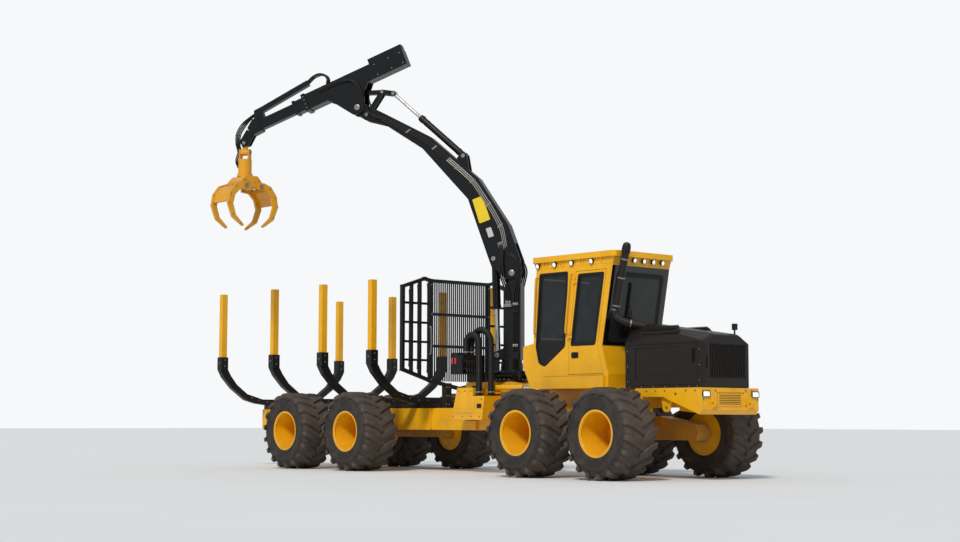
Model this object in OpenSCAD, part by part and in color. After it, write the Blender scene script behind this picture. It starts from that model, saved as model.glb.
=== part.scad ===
// Eight-wheel articulated forwarder with a knuckle-boom crane and grapple.
// Millimetres, +X forward, +Y left, +Z up. The origin is on the ground, below
// the middle of the whole machine. The modules draw it from the centre joint
// that steers it, and placed() moves every piece from there.

/* [Wheels] */
// Outer diameter of a tyre over its lugs
tyre_d = 1500; // [1440:10:1540]
// Width of a tyre
tyre_w = 740; // [640:10:760]
// Height of a tread lug
lug_h = 45; // [30:5:50]
// Lugs round each half of the tread
lugs = 18; // [14:1:20]
// Slant of the lugs
lug_slant = 24; // [16:1:30]
// Diameter of the rim at the bead seats
rim_d = 752; // [700:2:780]
// Distance between the middles of the left and right tyres
track = 2588; // [2560:4:2700]
// Distance between the two wheels of the front bogie
front_spacing = 1900; // [1860:10:1980]
// Distance between the two wheels of the rear bogie
rear_spacing = 2000; // [1960:10:2060]
// Front bogie's pivot, ahead of the centre joint
front_axle_x = 2120; // [2060:10:2160]
// Rear bogie's pivot, behind the centre joint
rear_axle_x = 4620; // [4560:10:4680]

/* [Rear frame and bunk] */
// Rear end of the rear frame, behind the centre joint
rear_len = 8230; // [8200:10:8400]
// Width of the rear beam
beam_w = 840; // [760:10:880]
// Height of the underside of the rear beam
beam_low = 780; // [760:5:800]
// Height of the top of the rear beam
beam_top = 1190; // [1170:5:1230]
// Height of the top of the bolsters over the beam
bunk_z = 1400; // [1390:5:1430]
// Height of the floor of the stake sockets
sock_z = 2040; // [2020:5:2080]
// Distance between the middles of left and right stakes
stake_track = 3036; // [2960:4:3080]
// Height of the stake tips
stake_top = 3600; // [3300:10:3800]
// Outside size of a stake's square tube
stake_w = 120; // [90:5:130]
// Gate's place behind the centre joint
gate_x = 2200; // [2160:10:2240]
// Height of the top of the gate
gate_top = 3640; // [3500:10:3700]
// Slats across the middle field of the gate
gate_slats = 27; // [15:1:31]

/* [Front frame, hood and cab] */
// Front face of the bumper, ahead of the centre joint
front_len = 4490; // [4470:5:4600]
// Radius of the hole in a tow lug, for a shackle's pin
tow_r = 26; // [22:1:28]
// Width of the bumper
bumper_w = 1380; // [1300:10:1440]
// Height of the top of the front frame
front_top = 1485; // [1480:1:1490]
// Width of the hood
hood_w = 1090; // [1040:10:1120]
// Rear face of the hood, ahead of the centre joint
hood_x = 2690; // [2680:2:2700]
// Thickness of the hood's panels
hood_wall = 30; // [20:1:40]
// Upright bars of the grille
grille_bars = 21; // [11:2:25]
// Width of the cab
cab_w = 1400; // [1380:10:1420]
// Thickness of the cab's walls
cab_wall = 60; // [50:2:70]
// Height of the top of the roof
roof_top = 3800; // [3790:5:3840]
// Width of the roof's visor
roof_w = 1488; // [1470:4:1560]
// Diameter of the air intake pipe
intake_d = 130; // [100:5:140]

/* [Crane] */
// Slew axis, behind the centre joint
crane_x = 710; // [700:5:720]
// Crane's direction in plan, from straight ahead
slew_deg = 213; // [205:1:221]
// Height of the slew joint above the ground
slew_z = 2005; // [2000:1:2020]
// Half width of the main boom
boom_half = 150; // [146:1:160]
// Fall of the stick below level
stick_fall = 21.5; // [20:0.5:23]
// Bore of the lift cylinder's barrel, outside
lift_d = 150; // [120:2:154]
// Diameter of the lift cylinder's rod
lift_rod_d = 95; // [70:5:100]
// Outside diameter of the stick cylinder's barrel
stick_cyl_d = 126; // [100:2:130]
// Diameter of the stick cylinder's rod
stick_rod_d = 66; // [50:2:80]
// Height of the stick's box
stick_h = 310; // [300:5:330]
// Width of the stick's box
stick_w = 250; // [240:2:256]
// Wall of the stick's box
stick_t = 24; // [20:1:26]

/* [Grapple] */
// Width of a jaw over its outer arms
jaw_w = 640; // [560:10:700]
// Half distance between the jaw hinges
jaw_hinge = 170; // [160:2:190]

/* [Hidden] */
$fn = 48;
// Running gap between pieces that move past each other, and the fit of a pin
gap = 6;
fit = 0.5;
// How far a wear pad stands out of a telescoping box
pad = gap - fit;
// Radius of the crane's smaller pins
pin_r = 29.5;

tyre_r = tyre_d / 2;
axle_z = tyre_r;
// Height of the seat between a bogie axle and its frame
saddle_z = axle_z + 350;
wheel_y = track / 2;
// A wheel's row: name, distance ahead of the centre joint, side (1 left, -1 right)
front_x1 = front_axle_x + front_spacing / 2;
front_x2 = front_axle_x - front_spacing / 2;
rear_x1 = -rear_axle_x + rear_spacing / 2;
rear_x2 = -rear_axle_x - rear_spacing / 2;
wheels = [
    ["1r", front_x1, -1], ["1l", front_x1, 1],
    ["2r", front_x2, -1], ["2l", front_x2, 1],
    ["3r", rear_x1, -1], ["3l", rear_x1, 1],
    ["4r", rear_x2, -1], ["4l", rear_x2, 1]
];
// Where a wheel's disc meets its hub
dish_y = wheel_y - tyre_w / 2 + 50;
bogie_in = 600;
bogie_out = wheel_y - tyre_w / 2 - 30;

// Stakes' distances behind the centre joint
stake_x = [2950, 4530, 6200, rear_len - 120];
// Height of the top of a stake's socket
sock_top = 2275;
deck_z = 1660;
half_beam = beam_w / 2;
// Half width of the front frame
frame_half = 430;

// Crane pins in the crane's own plane: [distance from the slew axis, height]
boom_pin = [-30, 3660];
lift_top = [315, 3930];
lift_foot = [262, 2150];
lift_gland = 3010;
stick_foot = [920, 5880];
rocker_pin = [2830, 6750];
rocker_link = [2540, 7180];
rocker_rod = [2320, 7140];
tip_pin = [3010, 6890];
stick_gland = 0.62;
// Points in the stick's own frame: [along the stick, above the tip pin]
stick_base = 380;
link_eye = [-115, 270];
head_eye = [2404, 335];

// Tow lug: distance from the middle, height, hole ahead of the bumper, its plate
tow_y = 450;
tow_z = 1230;
tow_out = 30;
tow_edge = 62;
tow_t = 40;

// A box from its lowest corner to its highest
module block(a, b) {
    translate(a)
        cube(b - a);
}

// A shape drawn in X and Z, as thick as from y0 to y1
module side_plate(y0, y1) {
    translate([0, y1, 0])
        rotate([90, 0, 0])
            linear_extrude(y1 - y0)
                children();
}

// The same piece on the right and on the left
module both_sides() {
    children();
    mirror([0, 1, 0])
        children();
}

// A cylinder across the machine from y0 to y1, at x and z
module cross_cyl(x, z, r, y0, y1) {
    translate([x, y1, z])
        rotate([90, 0, 0])
            cylinder(r = r, h = y1 - y0);
}

// Puts what is drawn in the crane's plane, X out from the slew axis, in its place
module on_crane() {
    translate([-crane_x, 0, 0])
        rotate([0, 0, slew_deg])
            children();
}

// Puts what is drawn along the stick, from the tip pin, in the crane's plane
module on_stick() {
    translate([tip_pin[0], 0, tip_pin[1]])
        rotate([0, stick_fall, 0])
            children();
}

// A bar between two points in X and Z, with round ends
// A bar with square ends, which reach half its width past both points
module square_bar(a, b, w) {
    d = b - a;
    translate(a)
        rotate(atan2(d[1], d[0]))
            translate([-w / 2, -w / 2])
                square([norm(d) + w, w]);
}

module bar(a, b, w) {
    d = b - a;
    translate(a)
        rotate(atan2(d[1], d[0])) {
            translate([0, -w / 2])
                square([norm(d), w]);
            circle(d = w);
        }
    translate(b)
        circle(d = w);
}

// Cylinder between two points in X and Z of the middle plane
module rod_between(a, b, r) {
    d = b - a;
    translate([a[0], 0, a[1]])
        rotate([0, 90 - atan2(d[1], d[0]), 0])
            cylinder(r = r, h = norm(d));
}

// A shape drawn in Y and Z, as thick as from x0 to x1
module cross_plate(x0, x1) {
    translate([x0, 0, 0])
        rotate([90, 0, 90])
            linear_extrude(x1 - x0)
                children();
}

// Outline of one side given from the middle outward and back, with its mirror image
function both(half) = concat(half, [for (i = [len(half) - 1 : -1 : 0]) [-half[i][0], half[i][1]]]);

// A hinge at x and y with its middle at z: the pin with its two end knuckles,
// and the knuckle that turns on it
module hinge_pin(x, y, z) {
    translate([x, y, z - 50]) {
        cylinder(r = 7, h = 100);
        for (s = [0, 76])
            translate([0, 0, s])
                cylinder(r = 16, h = 24);
    }
}

module hinge_knuckle(x, y, z) {
    translate([x, y, z - 25.5])
        difference() {
            cylinder(r = 16, h = 51);
            translate([0, 0, -1])
                cylinder(r = 7 + fit, h = 53);
        }
}

// Cylinder between any two points
module pipe(a, b, r) {
    d = b - a;
    translate(a)
        rotate([0, acos(d[2] / norm(d)), atan2(d[1], d[0])])
            cylinder(r = r, h = norm(d));
}

// Wheels

// One lug of the tread, slanting from the middle to a shoulder; side is 1 or -1
module lug(side) {
    base = tyre_r - lug_h - 12;
    length = tyre_w / 2 - 20;
    reach = length / 2 * sin(lug_slant) + 62 * cos(lug_slant);
    top = sqrt(tyre_r * tyre_r - reach * reach);
    translate([0, 0, side * (tyre_w / 4 - 3)])
        rotate([-side * lug_slant, 0, 0])
            translate([0, 0, -length / 2])
                linear_extrude(length)
                    polygon([[base, -80], [top, -62], [top, 62], [base, 80]]);
}

module tyre(x, side) {
    bead = rim_d / 2 + fit;
    root = tyre_r - lug_h;
    half = tyre_w / 2;
    color("dimgray")
        translate([x, side * wheel_y, axle_z])
            rotate([90, 0, 0]) {
                rotate_extrude()
                    polygon([
                        [bead, -half + 40], [bead + 24, -half + 40], [bead + 70, -half],
                        [root - 110, -half], [root - 20, -half + 45], [root, -half + 110],
                        [root, half - 110], [root - 20, half - 45], [root - 110, half],
                        [bead + 70, half], [bead + 24, half - 40], [bead, half - 40]
                    ]);
                // Two rings of lugs, half a pitch apart, with one lug on the ground
                for (i = [0 : lugs - 1]) {
                    rotate(-90 + i * 360 / lugs)
                        lug(1);
                    rotate(-90 + (i + 0.5) * 360 / lugs)
                        lug(-1);
                }
            }
}

module rim(x, side) {
    rr = rim_d / 2;
    half = tyre_w / 2 - 40;
    color("gold")
        translate([x, side * wheel_y, axle_z])
            rotate([90 * side, 0, 0])
                rotate_extrude()
                    polygon([
                        [0, half - 78], [140, half - 78], [162, half - 34], [rr - 110, half - 34],
                        [rr - 76, half - 66], [rr - 66, 0], [rr - 36, -half + 70], [rr - 22, -half - 14],
                        [rr + 22, -half - 14], [rr + 22, -half - fit], [rr, -half - fit],
                        [rr, half], [rr - 30, half], [rr - 30, half - 10], [0, half - 10]
                    ]);
}

// Axle with its pair of bogie cases; x is the pivot's place
module bogie_axle(x, spacing) {
    color("gold") {
        cross_cyl(x, axle_z + 130, 165, -bogie_in, bogie_in);
        block([x - 230, -300, axle_z + 60], [x + 230, 300, saddle_z]);
        both_sides() {
            side_plate(bogie_in, bogie_out)
                polygon([
                    [x - spacing / 2 - 150, axle_z - 120], [x + spacing / 2 + 150, axle_z - 120],
                    [x + spacing / 2 + 190, axle_z], [x + spacing / 2 + 120, axle_z + 150],
                    [x + 260, axle_z + 290], [x - 260, axle_z + 290],
                    [x - spacing / 2 - 120, axle_z + 150], [x - spacing / 2 - 190, axle_z]
                ]);
            for (s = [-1, 1])
                cross_cyl(x + s * spacing / 2, axle_z, 160, bogie_out - 1, dish_y - fit);
        }
    }
}

// Rear machine

module rear_frame() {
    color("gold") {
        difference() {
            block([-rear_len, -half_beam, beam_low], [-1180, half_beam, beam_top]);
            block([-rear_axle_x - 280, -half_beam - 1, beam_low - 1],
                  [-rear_axle_x + 280, half_beam + 1, saddle_z]);
        }
        difference() {
            side_plate(-half_beam, half_beam)
                polygon([
                    [-1180, beam_low], [-240, 830], [-240, 1400], [-420, deck_z],
                    [-1500, deck_z], [-1700, beam_top], [-1180, beam_top]
                ]);
            // Pockets for the steering cylinders
            both_sides()
                block([-760, 285, 1440], [-200, half_beam + 1, deck_z + 1]);
        }
        both_sides() {
            block([-2180, half_beam - 1, beam_low], [-1180, half_beam + 50, 953]);
            for (x = [-8000, -6900, -3900, -2500])
                block([x - 10, half_beam - 1, beam_low + 20], [x + 10, half_beam + 60, beam_top]);
        }
        difference() {
            union() {
                for (z = [830, 1200])
                    block([-240, -190, z], [0, 190, z + 80]);
                for (z = [830, 1200])
                    translate([0, 0, z])
                        cylinder(r = 190, h = 80);
            }
            translate([0, 0, 800])
                cylinder(r = 60 + fit, h = 600);
        }
        both_sides()
            difference() {
                block([-700, half_beam - 60, 1439], [-520, half_beam + 160, 1470]);
                translate([-600, half_beam + 80, 1430])
                    cylinder(r = 30, h = 60);
            }
    }
}

// Height of the low part of the side boxes' top
tank_step = 1400;

module side_tanks() {
    color("gold")
        both_sides()
            side_plate(half_beam, 860)
                polygon([
                    [-1420, 970], [-560, 970], [-500, tank_step], [-820, tank_step],
                    [-820, 1550], [-1250, 1550]
                ]);
}

// Tubes of the gate's left half: one end, other end, width
gate_tubes = [
    [[1390, 1900], [1390, 3440], 60], [[1390, 3440], [870, gate_top - 30], 60],
    [[720, 1700], [720, gate_top - 60], 66], [[1390, 1900], [720, 1700], 60],
    [[720, 1700], [0, 1560], 66], [[0, gate_top - 60], [720, gate_top - 60], 60],
    [[870, gate_top - 30], [720, gate_top - 60], 60],
    [[1390, 2080], [720, 2080], 40], [[1390, 2420], [720, 2420], 40],
    [[1390, 2780], [720, 2780], 40], [[1390, 3140], [720, 3140], 40],
    [[1180, 1870], [1180, 3500], 36], [[980, 1810], [980, 3560], 36],
    [[0, 2350], [720, 2350], 50], [[0, 2950], [720, 2950], 50]
];

module gate() {
    pitch = 1380 / gate_slats;
    color("dimgray") {
        cross_plate(-gate_x - 40, -gate_x + 40)
            for (s = [-1, 1])
                for (t = gate_tubes)
                    square_bar([s * t[0][0], t[0][1]], [s * t[1][0], t[1][1]], t[2]);
        both_sides()
            block([-gate_x - 60, half_beam - 180, beam_top], [-gate_x + 60, half_beam - 40, 1660]);
        for (i = [0 : gate_slats - 1]) {
            y = -690 + pitch * (i + 0.5);
            block([-gate_x - 12, y - 9, 1690], [-gate_x + 12, y + 9, gate_top - 60]);
        }
    }
}

module bunk() {
    sock = stake_w / 2 + 22;
    inner = stake_track / 2 - sock;
    outer = stake_track / 2 + sock;
    color("dimgray") {
        for (x = stake_x)
            difference() {
                union() {
                    cross_plate(-x - 60, -x + 60)
                        polygon(both([
                            [0, bunk_z], [540, bunk_z], [930, bunk_z + 110], [1190, bunk_z + 300],
                            [1340, bunk_z + 480], [inner, sock_z], [outer, sock_z], [outer, sock_z - 50],
                            [outer - 80, sock_z - 190], [1300, bunk_z + 220], [960, bunk_z - 20],
                            [700, bunk_z - 90], [half_beam - 40, bunk_z - 130], [0, bunk_z - 130]
                        ]));
                    both_sides()
                        block([-x - sock, inner, sock_z - 30], [-x + sock, outer, sock_top]);
                }
                both_sides()
                    block([-x - stake_w / 2 - fit, stake_track / 2 - stake_w / 2 - fit, sock_z],
                          [-x + stake_w / 2 + fit, stake_track / 2 + stake_w / 2 + fit, sock_top + 1]);
            }
        both_sides()
            block([-rear_len, half_beam - 180, beam_top], [-gate_x - 100, half_beam - 40, bunk_z - 129]);
    }
}

module stakes() {
    color("gold")
        for (x = stake_x)
            both_sides()
                block([-x - stake_w / 2, stake_track / 2 - stake_w / 2, sock_z],
                      [-x + stake_w / 2, stake_track / 2 + stake_w / 2, stake_top]);
}

module crane_base() {
    base_h = slew_z - deck_z - 40 - fit;
    color("dimgray")
        translate([-crane_x, 0, 0]) {
            translate([0, 0, deck_z])
                cylinder(r = 330, h = 40);
            translate([0, 0, deck_z + 40])
                rotate_extrude()
                    polygon([[0, 0], [250, 0], [215, 120], [200, base_h], [0, base_h]]);
            // Slewing cylinders, one on each side of the pinion
            for (s = [-1, 1])
                translate([-380, s * 190, deck_z + 130])
                    rotate([0, 90, 0])
                        cylinder(r = 84, h = 700);
        }
}

// Ducts that arch from the valve bank to the side box: radius of the arch, side
duct_arches = [[270, -640], [180, -770]];
duct_r = 52;

module valve_bank() {
    color("dimgray") {
        block([-1400, -900, 1800], [-1050, -470, 2150]);
        block([-1380, -880, 2145], [-1200, -600, 2190]);
        block([-1400, -471, deck_z], [-1060, -360, 2150]);
        for (d = duct_arches) {
            x = -1110 + d[0];
            translate([x, d[1], 2330])
                rotate([90, 0, 0])
                    rotate_extrude(angle = 180)
                        translate([d[0], 0])
                            circle(r = duct_r);
            translate([x - d[0], d[1], 2140])
                cylinder(r = duct_r, h = 190);
            translate([x + d[0], d[1], tank_step + 20])
                cylinder(r = duct_r, h = 2310 - tank_step);
            block([x + d[0] - 68, d[1] - 60, tank_step + fit], [x + d[0] + 68, d[1] + 60, tank_step + 25]);
        }
    }
}

// Steering cylinders: side is 1 on the left and -1 on the right

steer_foot = [-600, 500];
steer_eye = [450, 330];
steer_z = 1550;

module steer_barrel(side) {
    d = [steer_eye[0] - steer_foot[0], side * (steer_eye[1] - steer_foot[1])];
    color("gold")
        translate([steer_foot[0], side * steer_foot[1], steer_z])
            rotate([0, 0, atan2(d[1], d[0])]) {
                translate([0, 0, -40])
                    cylinder(r = 60, h = 80);
                translate([0, 0, -120])
                    cylinder(r = 29, h = 81);
                difference() {
                    rotate([0, 90, 0])
                        cylinder(r = 50, h = 640);
                    translate([100, 0, 0])
                        rotate([0, 90, 0])
                            cylinder(r = 28, h = 541);
                }
            }
}

module steer_rod(side) {
    d = [steer_eye[0] - steer_foot[0], side * (steer_eye[1] - steer_foot[1])];
    color("silver")
        translate([steer_eye[0], side * steer_eye[1], steer_z])
            rotate([0, 0, atan2(d[1], d[0])]) {
                translate([0, 0, -36])
                    cylinder(r = 55, h = 72);
                rotate([0, -90, 0])
                    cylinder(r = 27, h = 700);
            }
}

// Front machine

module front_frame() {
    color("gold") {
        difference() {
            side_plate(-frame_half, frame_half)
                polygon([
                    [240, 930], [1700, 930], [1700, saddle_z], [front_axle_x + 280, saddle_z],
                    [front_axle_x + 280, 1180], [3300, 1180], [front_len - 40, 1180],
                    [front_len - 40, front_top], [240, front_top]
                ]);
            block([-1, -290, 820], [260, 290, front_top - 60]);
            block([hood_x + 60, -380, 1240], [front_len - 150, 380, front_top + 1]);
        }
        translate([0, 0, 920])
            difference() {
                union() {
                    cylinder(r = 150, h = 270);
                    block([0, -150, 0], [260, 150, 270]);
                }
                translate([0, 0, -1])
                    cylinder(r = 60 + fit, h = 272);
            }
        translate([0, 0, 815])
            cylinder(r = 60, h = 480);
        both_sides() {
            block([370, 290, front_top], [530, 400, steer_z - 36 - fit]);
            block([240, 430, front_top - 120], [500, 520, front_top]);
        }
    }
}

// A pair of tow lugs: their root face, the way they point, half distance, height
module tow_lugs(face, way, y, z) {
    hole = face + way * tow_out;
    both_sides()
        side_plate(y - tow_t / 2, y + tow_t / 2)
            difference() {
                union() {
                    polygon([
                        [face - way * 20, z - 110], [hole, z - tow_edge],
                        [hole, z + tow_edge], [face - way * 20, z + 110]
                    ]);
                    translate([hole, z])
                        circle(r = tow_edge);
                }
                translate([hole, z])
                    circle(r = tow_r);
            }
}

module bumper() {
    half = bumper_w / 2;
    color("gold") {
        tow_lugs(front_len, 1, tow_y, tow_z);
        both_sides() {
            side_plate(frame_half, half)
                difference() {
                    polygon([
                        [3050, front_top - 35], [3050, front_top], [front_len, front_top],
                        [front_len, 1130], [front_len - 60, 1060], [3780, 1290], [3670, 1338],
                        [3150, front_top - 140]
                    ]);
                    // Slot above the corner step
                    polygon([[3890, 1400], [3960, 1400], [3925, 1340]]);
                }
            // Eye for a tie-down chain, below the corner
            side_plate(half - 100, half - 60)
                difference() {
                    union() {
                        polygon([[3560, 1345], [3780, 1292], [3740, 1170], [3600, 1170]]);
                        translate([3670, 1175])
                            circle(r = 78);
                    }
                    translate([3670, 1165])
                        circle(r = 32);
                }
        }
        difference() {
            side_plate(-frame_half, frame_half)
                polygon([
                    [front_len - 40, front_top], [front_len, front_top], [front_len, 1130],
                    [front_len - 60, 1060], [3780, 1120], [3780, 1180], [front_len - 40, 1180]
                ]);
            // Blank recess between the lamps
            block([front_len - 18, -330, 1165], [front_len + 1, 330, 1415]);
        }
    }
}

hood_low = front_top;
hood_rear_top = 2600;
hood_front_top = 2360;
hood_nose = front_len - 130;

module hood_section(x, y0, low, top, side_top) {
    translate([x, 0, 0])
        rotate([90, 0, 90])
            linear_extrude(1)
                polygon([
                    [-y0, low], [y0, low], [y0, side_top], [y0 * 0.55, top],
                    [-y0 * 0.55, top], [-y0, side_top]
                ]);
}

module hood() {
    half = hood_w / 2;
    color("dimgray") {
        for (z = nose_hinge_z) {
            hinge_pin(hood_nose, half + 18, z);
            for (s = [-50, 26])
                block([hood_nose - 40, half - 5, z + s], [hood_nose, half + 18, z + s + 24]);
        }
        // Raised vent on the slope of each side's top, and a handle on each side
        both_sides() {
            block([4170, half - 5, 1880], [4195, half + 26, 2120]);
            hull() {
                block([2990, half * 0.72, 2380], [3750, half * 0.86, 2410]);
                block([3010, half * 0.62, 2420], [3710, half * 0.70, 2500]);
            }
        }
        difference() {
            hull() {
                hood_section(hood_x, half, hood_low, hood_rear_top, 2250);
                hood_section(hood_nose - 1, half, hood_low, hood_front_top, 2240);
            }
            hull() {
                hood_section(hood_x + hood_wall, half - hood_wall, hood_low - 1,
                             hood_rear_top - hood_wall, 2250 - hood_wall);
                hood_section(hood_nose, half - hood_wall, hood_low - 1,
                             hood_front_top - hood_wall, 2240 - hood_wall);
            }
            both_sides() {
                // Seam round the side door, and its plain pressed panel
                side_plate(half - 6, half + 1)
                    difference() {
                        polygon([[2760, 1530], [4290, 1530], [4290, 2205], [2760, 2205]]);
                        polygon([[2770, 1540], [4280, 1540], [4280, 2195], [2770, 2195]]);
                    }
                side_plate(half - 10, half + 1)
                    offset(r = 70)
                        polygon([[2980, 1640], [3850, 1640], [3850, 2080], [2980, 2080]]);
            }
        }
    }
}

// Grille door hinges on the hood's left front edge
nose_hinge_z = [1750, 2100];

module grille_door() {
    y = hood_w / 2 + 18;
    color("dimgray") {
        for (z = nose_hinge_z) {
            hinge_knuckle(hood_nose, y, z);
            block([hood_nose + 10, hood_w / 2 - 30, z - 25.5], [hood_nose + 40, y - 8, z + 25.5]);
        }
        difference() {
            hull() {
                hood_section(hood_nose + fit, hood_w / 2, hood_low, hood_front_top, 2240);
                hood_section(hood_nose + 70, hood_w / 2 - 20, hood_low + 10, hood_front_top - 30, 2200);
            }
            block([hood_nose + 45, -440, 1640], [hood_nose + 72, 440, 2190]);
        }
        for (i = [0 : grille_bars - 1])
            block([hood_nose + 44, -440 + (i + 0.5) * 880 / grille_bars - 5, 1635],
                  [hood_nose + 62, -440 + (i + 0.5) * 880 / grille_bars + 5, 2195]);
    }
}

engine_w = 660;
engine_h = 910;
engine_low = 1240;

module engine() {
    color("silver")
        block([hood_x + 160, -engine_w / 2, engine_low],
              [hood_nose - 320, engine_w / 2, engine_low + engine_h]);
}

// The intake's bends, from the hood up to its mouth
intake_path = [[2910, -295, 2527], [2600, -590, 2620], [2520, -610, 2760], [2760, -570, 3860]];

module intake() {
    color("dimgray")
        difference() {
            for (i = [0 : len(intake_path) - 2]) {
                pipe(intake_path[i], intake_path[i + 1], intake_d / 2);
                translate(intake_path[i + 1])
                    sphere(d = intake_d + 8);
            }
            // The foot follows the hood's top
            hull() {
                hood_section(hood_x, hood_w / 2 + fit, hood_low, hood_rear_top + fit, 2250 + fit);
                hood_section(hood_nose - 1, hood_w / 2 + fit, hood_low, hood_front_top + fit, 2240 + fit);
            }
        }
}

// Height of the top of the cab's walls
cab_top = 3590;
// The cab's side outline: outer edge, as [X, Z]
cab_side = [
    [350, 1900], [560, front_top], [2440, front_top], [2440, 1740],
    [2300, 2210], [2560, cab_top], [700, cab_top], [620, 2300], [350, 2250]
];
cab_inner = [
    [700, 1600], [2380, 1600], [2380, 1740], [2240, 2210], [2490, 3500], [770, 3500], [690, 2240]
];
side_window = [[760, 1960], [900, 1900], [1400, 2230], [1480, 3500], [790, 3500], [690, 2240]];
door_cut = [[1500, 1740], [2330, 1740], [2190, 2210], [2420, 3500], [1690, 3500], [1500, 2210]];
door_window = [[1560, 2240], [2130, 2240], [2350, 3440], [1750, 3440]];

// The door's hinges stand along its slanted rear edge: how far up that line
door_lean = atan2(door_cut[4][0] - door_cut[5][0], door_cut[4][1] - door_cut[5][1]);
hinge_up = [180, 1130];

module on_door_line(up) {
    translate([door_cut[5][0] - 3, -cab_w / 2 - 18, door_cut[5][1]])
        rotate([0, door_lean, 0])
            translate([0, 0, up])
                children();
}

module cab() {
    half = cab_w / 2;
    color("gold") {
        for (up = hinge_up)
            on_door_line(up) {
                hinge_pin(0, 0, 0);
                for (s = [-50, 26])
                    block([-40, 0, s], [0, 18.5, s + 24]);
            }
        both_sides() {
            // Sill step under the door
            block([900, half - 1, 1500], [2380, half + 60, 1712]);
        }
        difference() {
            side_plate(-half, half)
                polygon(cab_side);
            side_plate(-half + cab_wall, half - cab_wall)
                polygon(cab_inner);
            side_plate(-half - 1, -half + cab_wall + 1) {
                polygon(side_window);
                polygon(door_cut);
            }
            side_plate(half - cab_wall - 1, half + 1) {
                polygon(side_window);
                polygon(door_window);
            }
            block([340, -430, front_top - 1], [620, 430, 1610]);
            block([2200, -half + 120, 2260], [2700, half - 120, 3480]);
            block([600, -half + 120, 2380], [800, half - 120, 3440]);
        }
    }
}

module cab_glass() {
    half = cab_w / 2;
    color("slategray") {
        both_sides()
            side_plate(half - 24, half - 16)
                offset(delta = -1)
                    polygon(side_window);
        side_plate(half - 24, half - 16)
            offset(delta = -1)
                polygon(door_window);
    }
}

module door() {
    half = cab_w / 2;
    color("gold") {
        side_plate(-half, -half + cab_wall)
            difference() {
                offset(delta = -gap)
                    polygon(door_cut);
                polygon(door_window);
            }
        for (up = hinge_up)
            on_door_line(up)
                difference() {
                    union() {
                        hinge_knuckle(0, 0, 0);
                        block([10, 4, -25.5], [60, 18.5, 25.5]);
                    }
                    translate([0, 0, -30])
                        cylinder(r = 7 + fit, h = 60);
                }
    }
}

module door_glass() {
    half = cab_w / 2;
    color("slategray")
        side_plate(-half + 16, -half + 24)
            offset(delta = -1)
                polygon(door_window);
}

// Roof: rear and front end of its visor's middle part, the visor's height
roof_x0 = 690;
roof_x1 = 2560;
visor_h = 100;
visor_z = roof_top - visor_h;

module roof() {
    half = roof_w / 2;
    color("gold") {
        side_plate(-cab_w / 2, cab_w / 2)
            polygon([
                [roof_x0 + 10, cab_top], [roof_x1, cab_top], [roof_x1 + 40, visor_z], [roof_x0 - 50, visor_z]
            ]);
        translate([0, 0, visor_z])
            linear_extrude(visor_h)
                offset(r = 80)
                    polygon([
                        [roof_x0, -half + 80], [roof_x1, -half + 80],
                        [roof_x1, half - 80], [roof_x0, half - 80]
                    ]);
        // Gussets under the visor, between the lamps
        both_sides()
            for (x = [900, 970, 1320, 1390, 1800, 1870, 2300])
                cross_plate(x - 8, x + 8)
                    polygon([
                        [cab_w / 2 - 1, cab_top + 10], [cab_w / 2 + 18, visor_z - 60],
                        [half - 20, visor_z + 1], [cab_w / 2 - 1, visor_z + 1]
                    ]);
    }
}

// Lamps under the visor: side row as distances ahead of the centre joint
lamp_side = [760, 1180, 1600, 2080];
lamp_front = [-460, -230, 0, 230, 460];

module lamps() {
    color("white") {
        both_sides()
            for (x = lamp_side)
                translate([x, cab_w / 2, 3657.7])
                    rotate([-90, 0, 0])
                        cylinder(r = 42, h = 38);
        for (y = lamp_front)
            translate([2600, y, 3657.7])
                rotate([0, 90, 0])
                    cylinder(r = 42, h = 50);
    }
}

module seat() {
    color("dimgray") {
        block([1150, -260, 1950], [1700, 260, 2080]);
        block([1080, -250, 2080], [1200, 250, 2800]);
        block([1300, -150, 1600], [1550, 150, 1950]);
    }
}

// Crane

module column() {
    color("dimgray")
        on_crane() {
            translate([0, 0, slew_z])
                cylinder(r = 190, h = 60);
            side_plate(-150, 150)
                polygon([
                    [-200, slew_z + 60], [110, slew_z + 60], [110, 2900], [82, 3400], [82, 3480], [-200, 3480]
                ]);
            difference() {
                union() {
                    cross_cyl(boom_pin[0], boom_pin[1], 112, -109.5, 109.5);
                    side_plate(-109.5, 109.5)
                        polygon([[-142, 3480], [82, 3480], [82, boom_pin[1]], [-142, boom_pin[1]]]);
                }
                cross_cyl(boom_pin[0], boom_pin[1], 60, -120, 120);
            }
            both_sides()
                side_plate(66, 96)
                    polygon([[100, 2070], [300, 2070], [330, 2200], [100, 2300]]);
        }
}

module lift_barrel() {
    d = lift_foot - lift_top;
    color("dimgray")
        on_crane()
            difference() {
                union() {
                    cross_cyl(lift_top[0], lift_top[1], 90, -109.5, 109.5);
                    rod_between(lift_top, lift_top + d * 0.52, lift_d / 2);
                    cross_cyl(lift_top[0], lift_top[1], 35, -boom_half - 8, boom_half + 8);
                }
                rod_between(lift_top + d * 0.1, lift_top + d * 0.53, lift_rod_d / 2 + fit);
            }
}

module lift_rod() {
    d = lift_foot - lift_top;
    color("silver")
        on_crane() {
            cross_cyl(lift_foot[0], lift_foot[1], 60, -65.5, 65.5);
            rod_between(lift_top + d * 0.3, lift_foot, lift_rod_d / 2);
        }
}

boom_outline = [
    [-200, 3600], [60, 3540], [360, 3800], [420, 3960], [810, 5055], [1700, 6040], [2450, 6530],
    [2850, 6640], [3110, 6800], [3110, 6960], [2950, 7010], [2760, 6900], [2450, 6740],
    [1560, 6268], [900, 5690], [620, 5450], [40, 4560], [-200, 3900]
];

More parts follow.
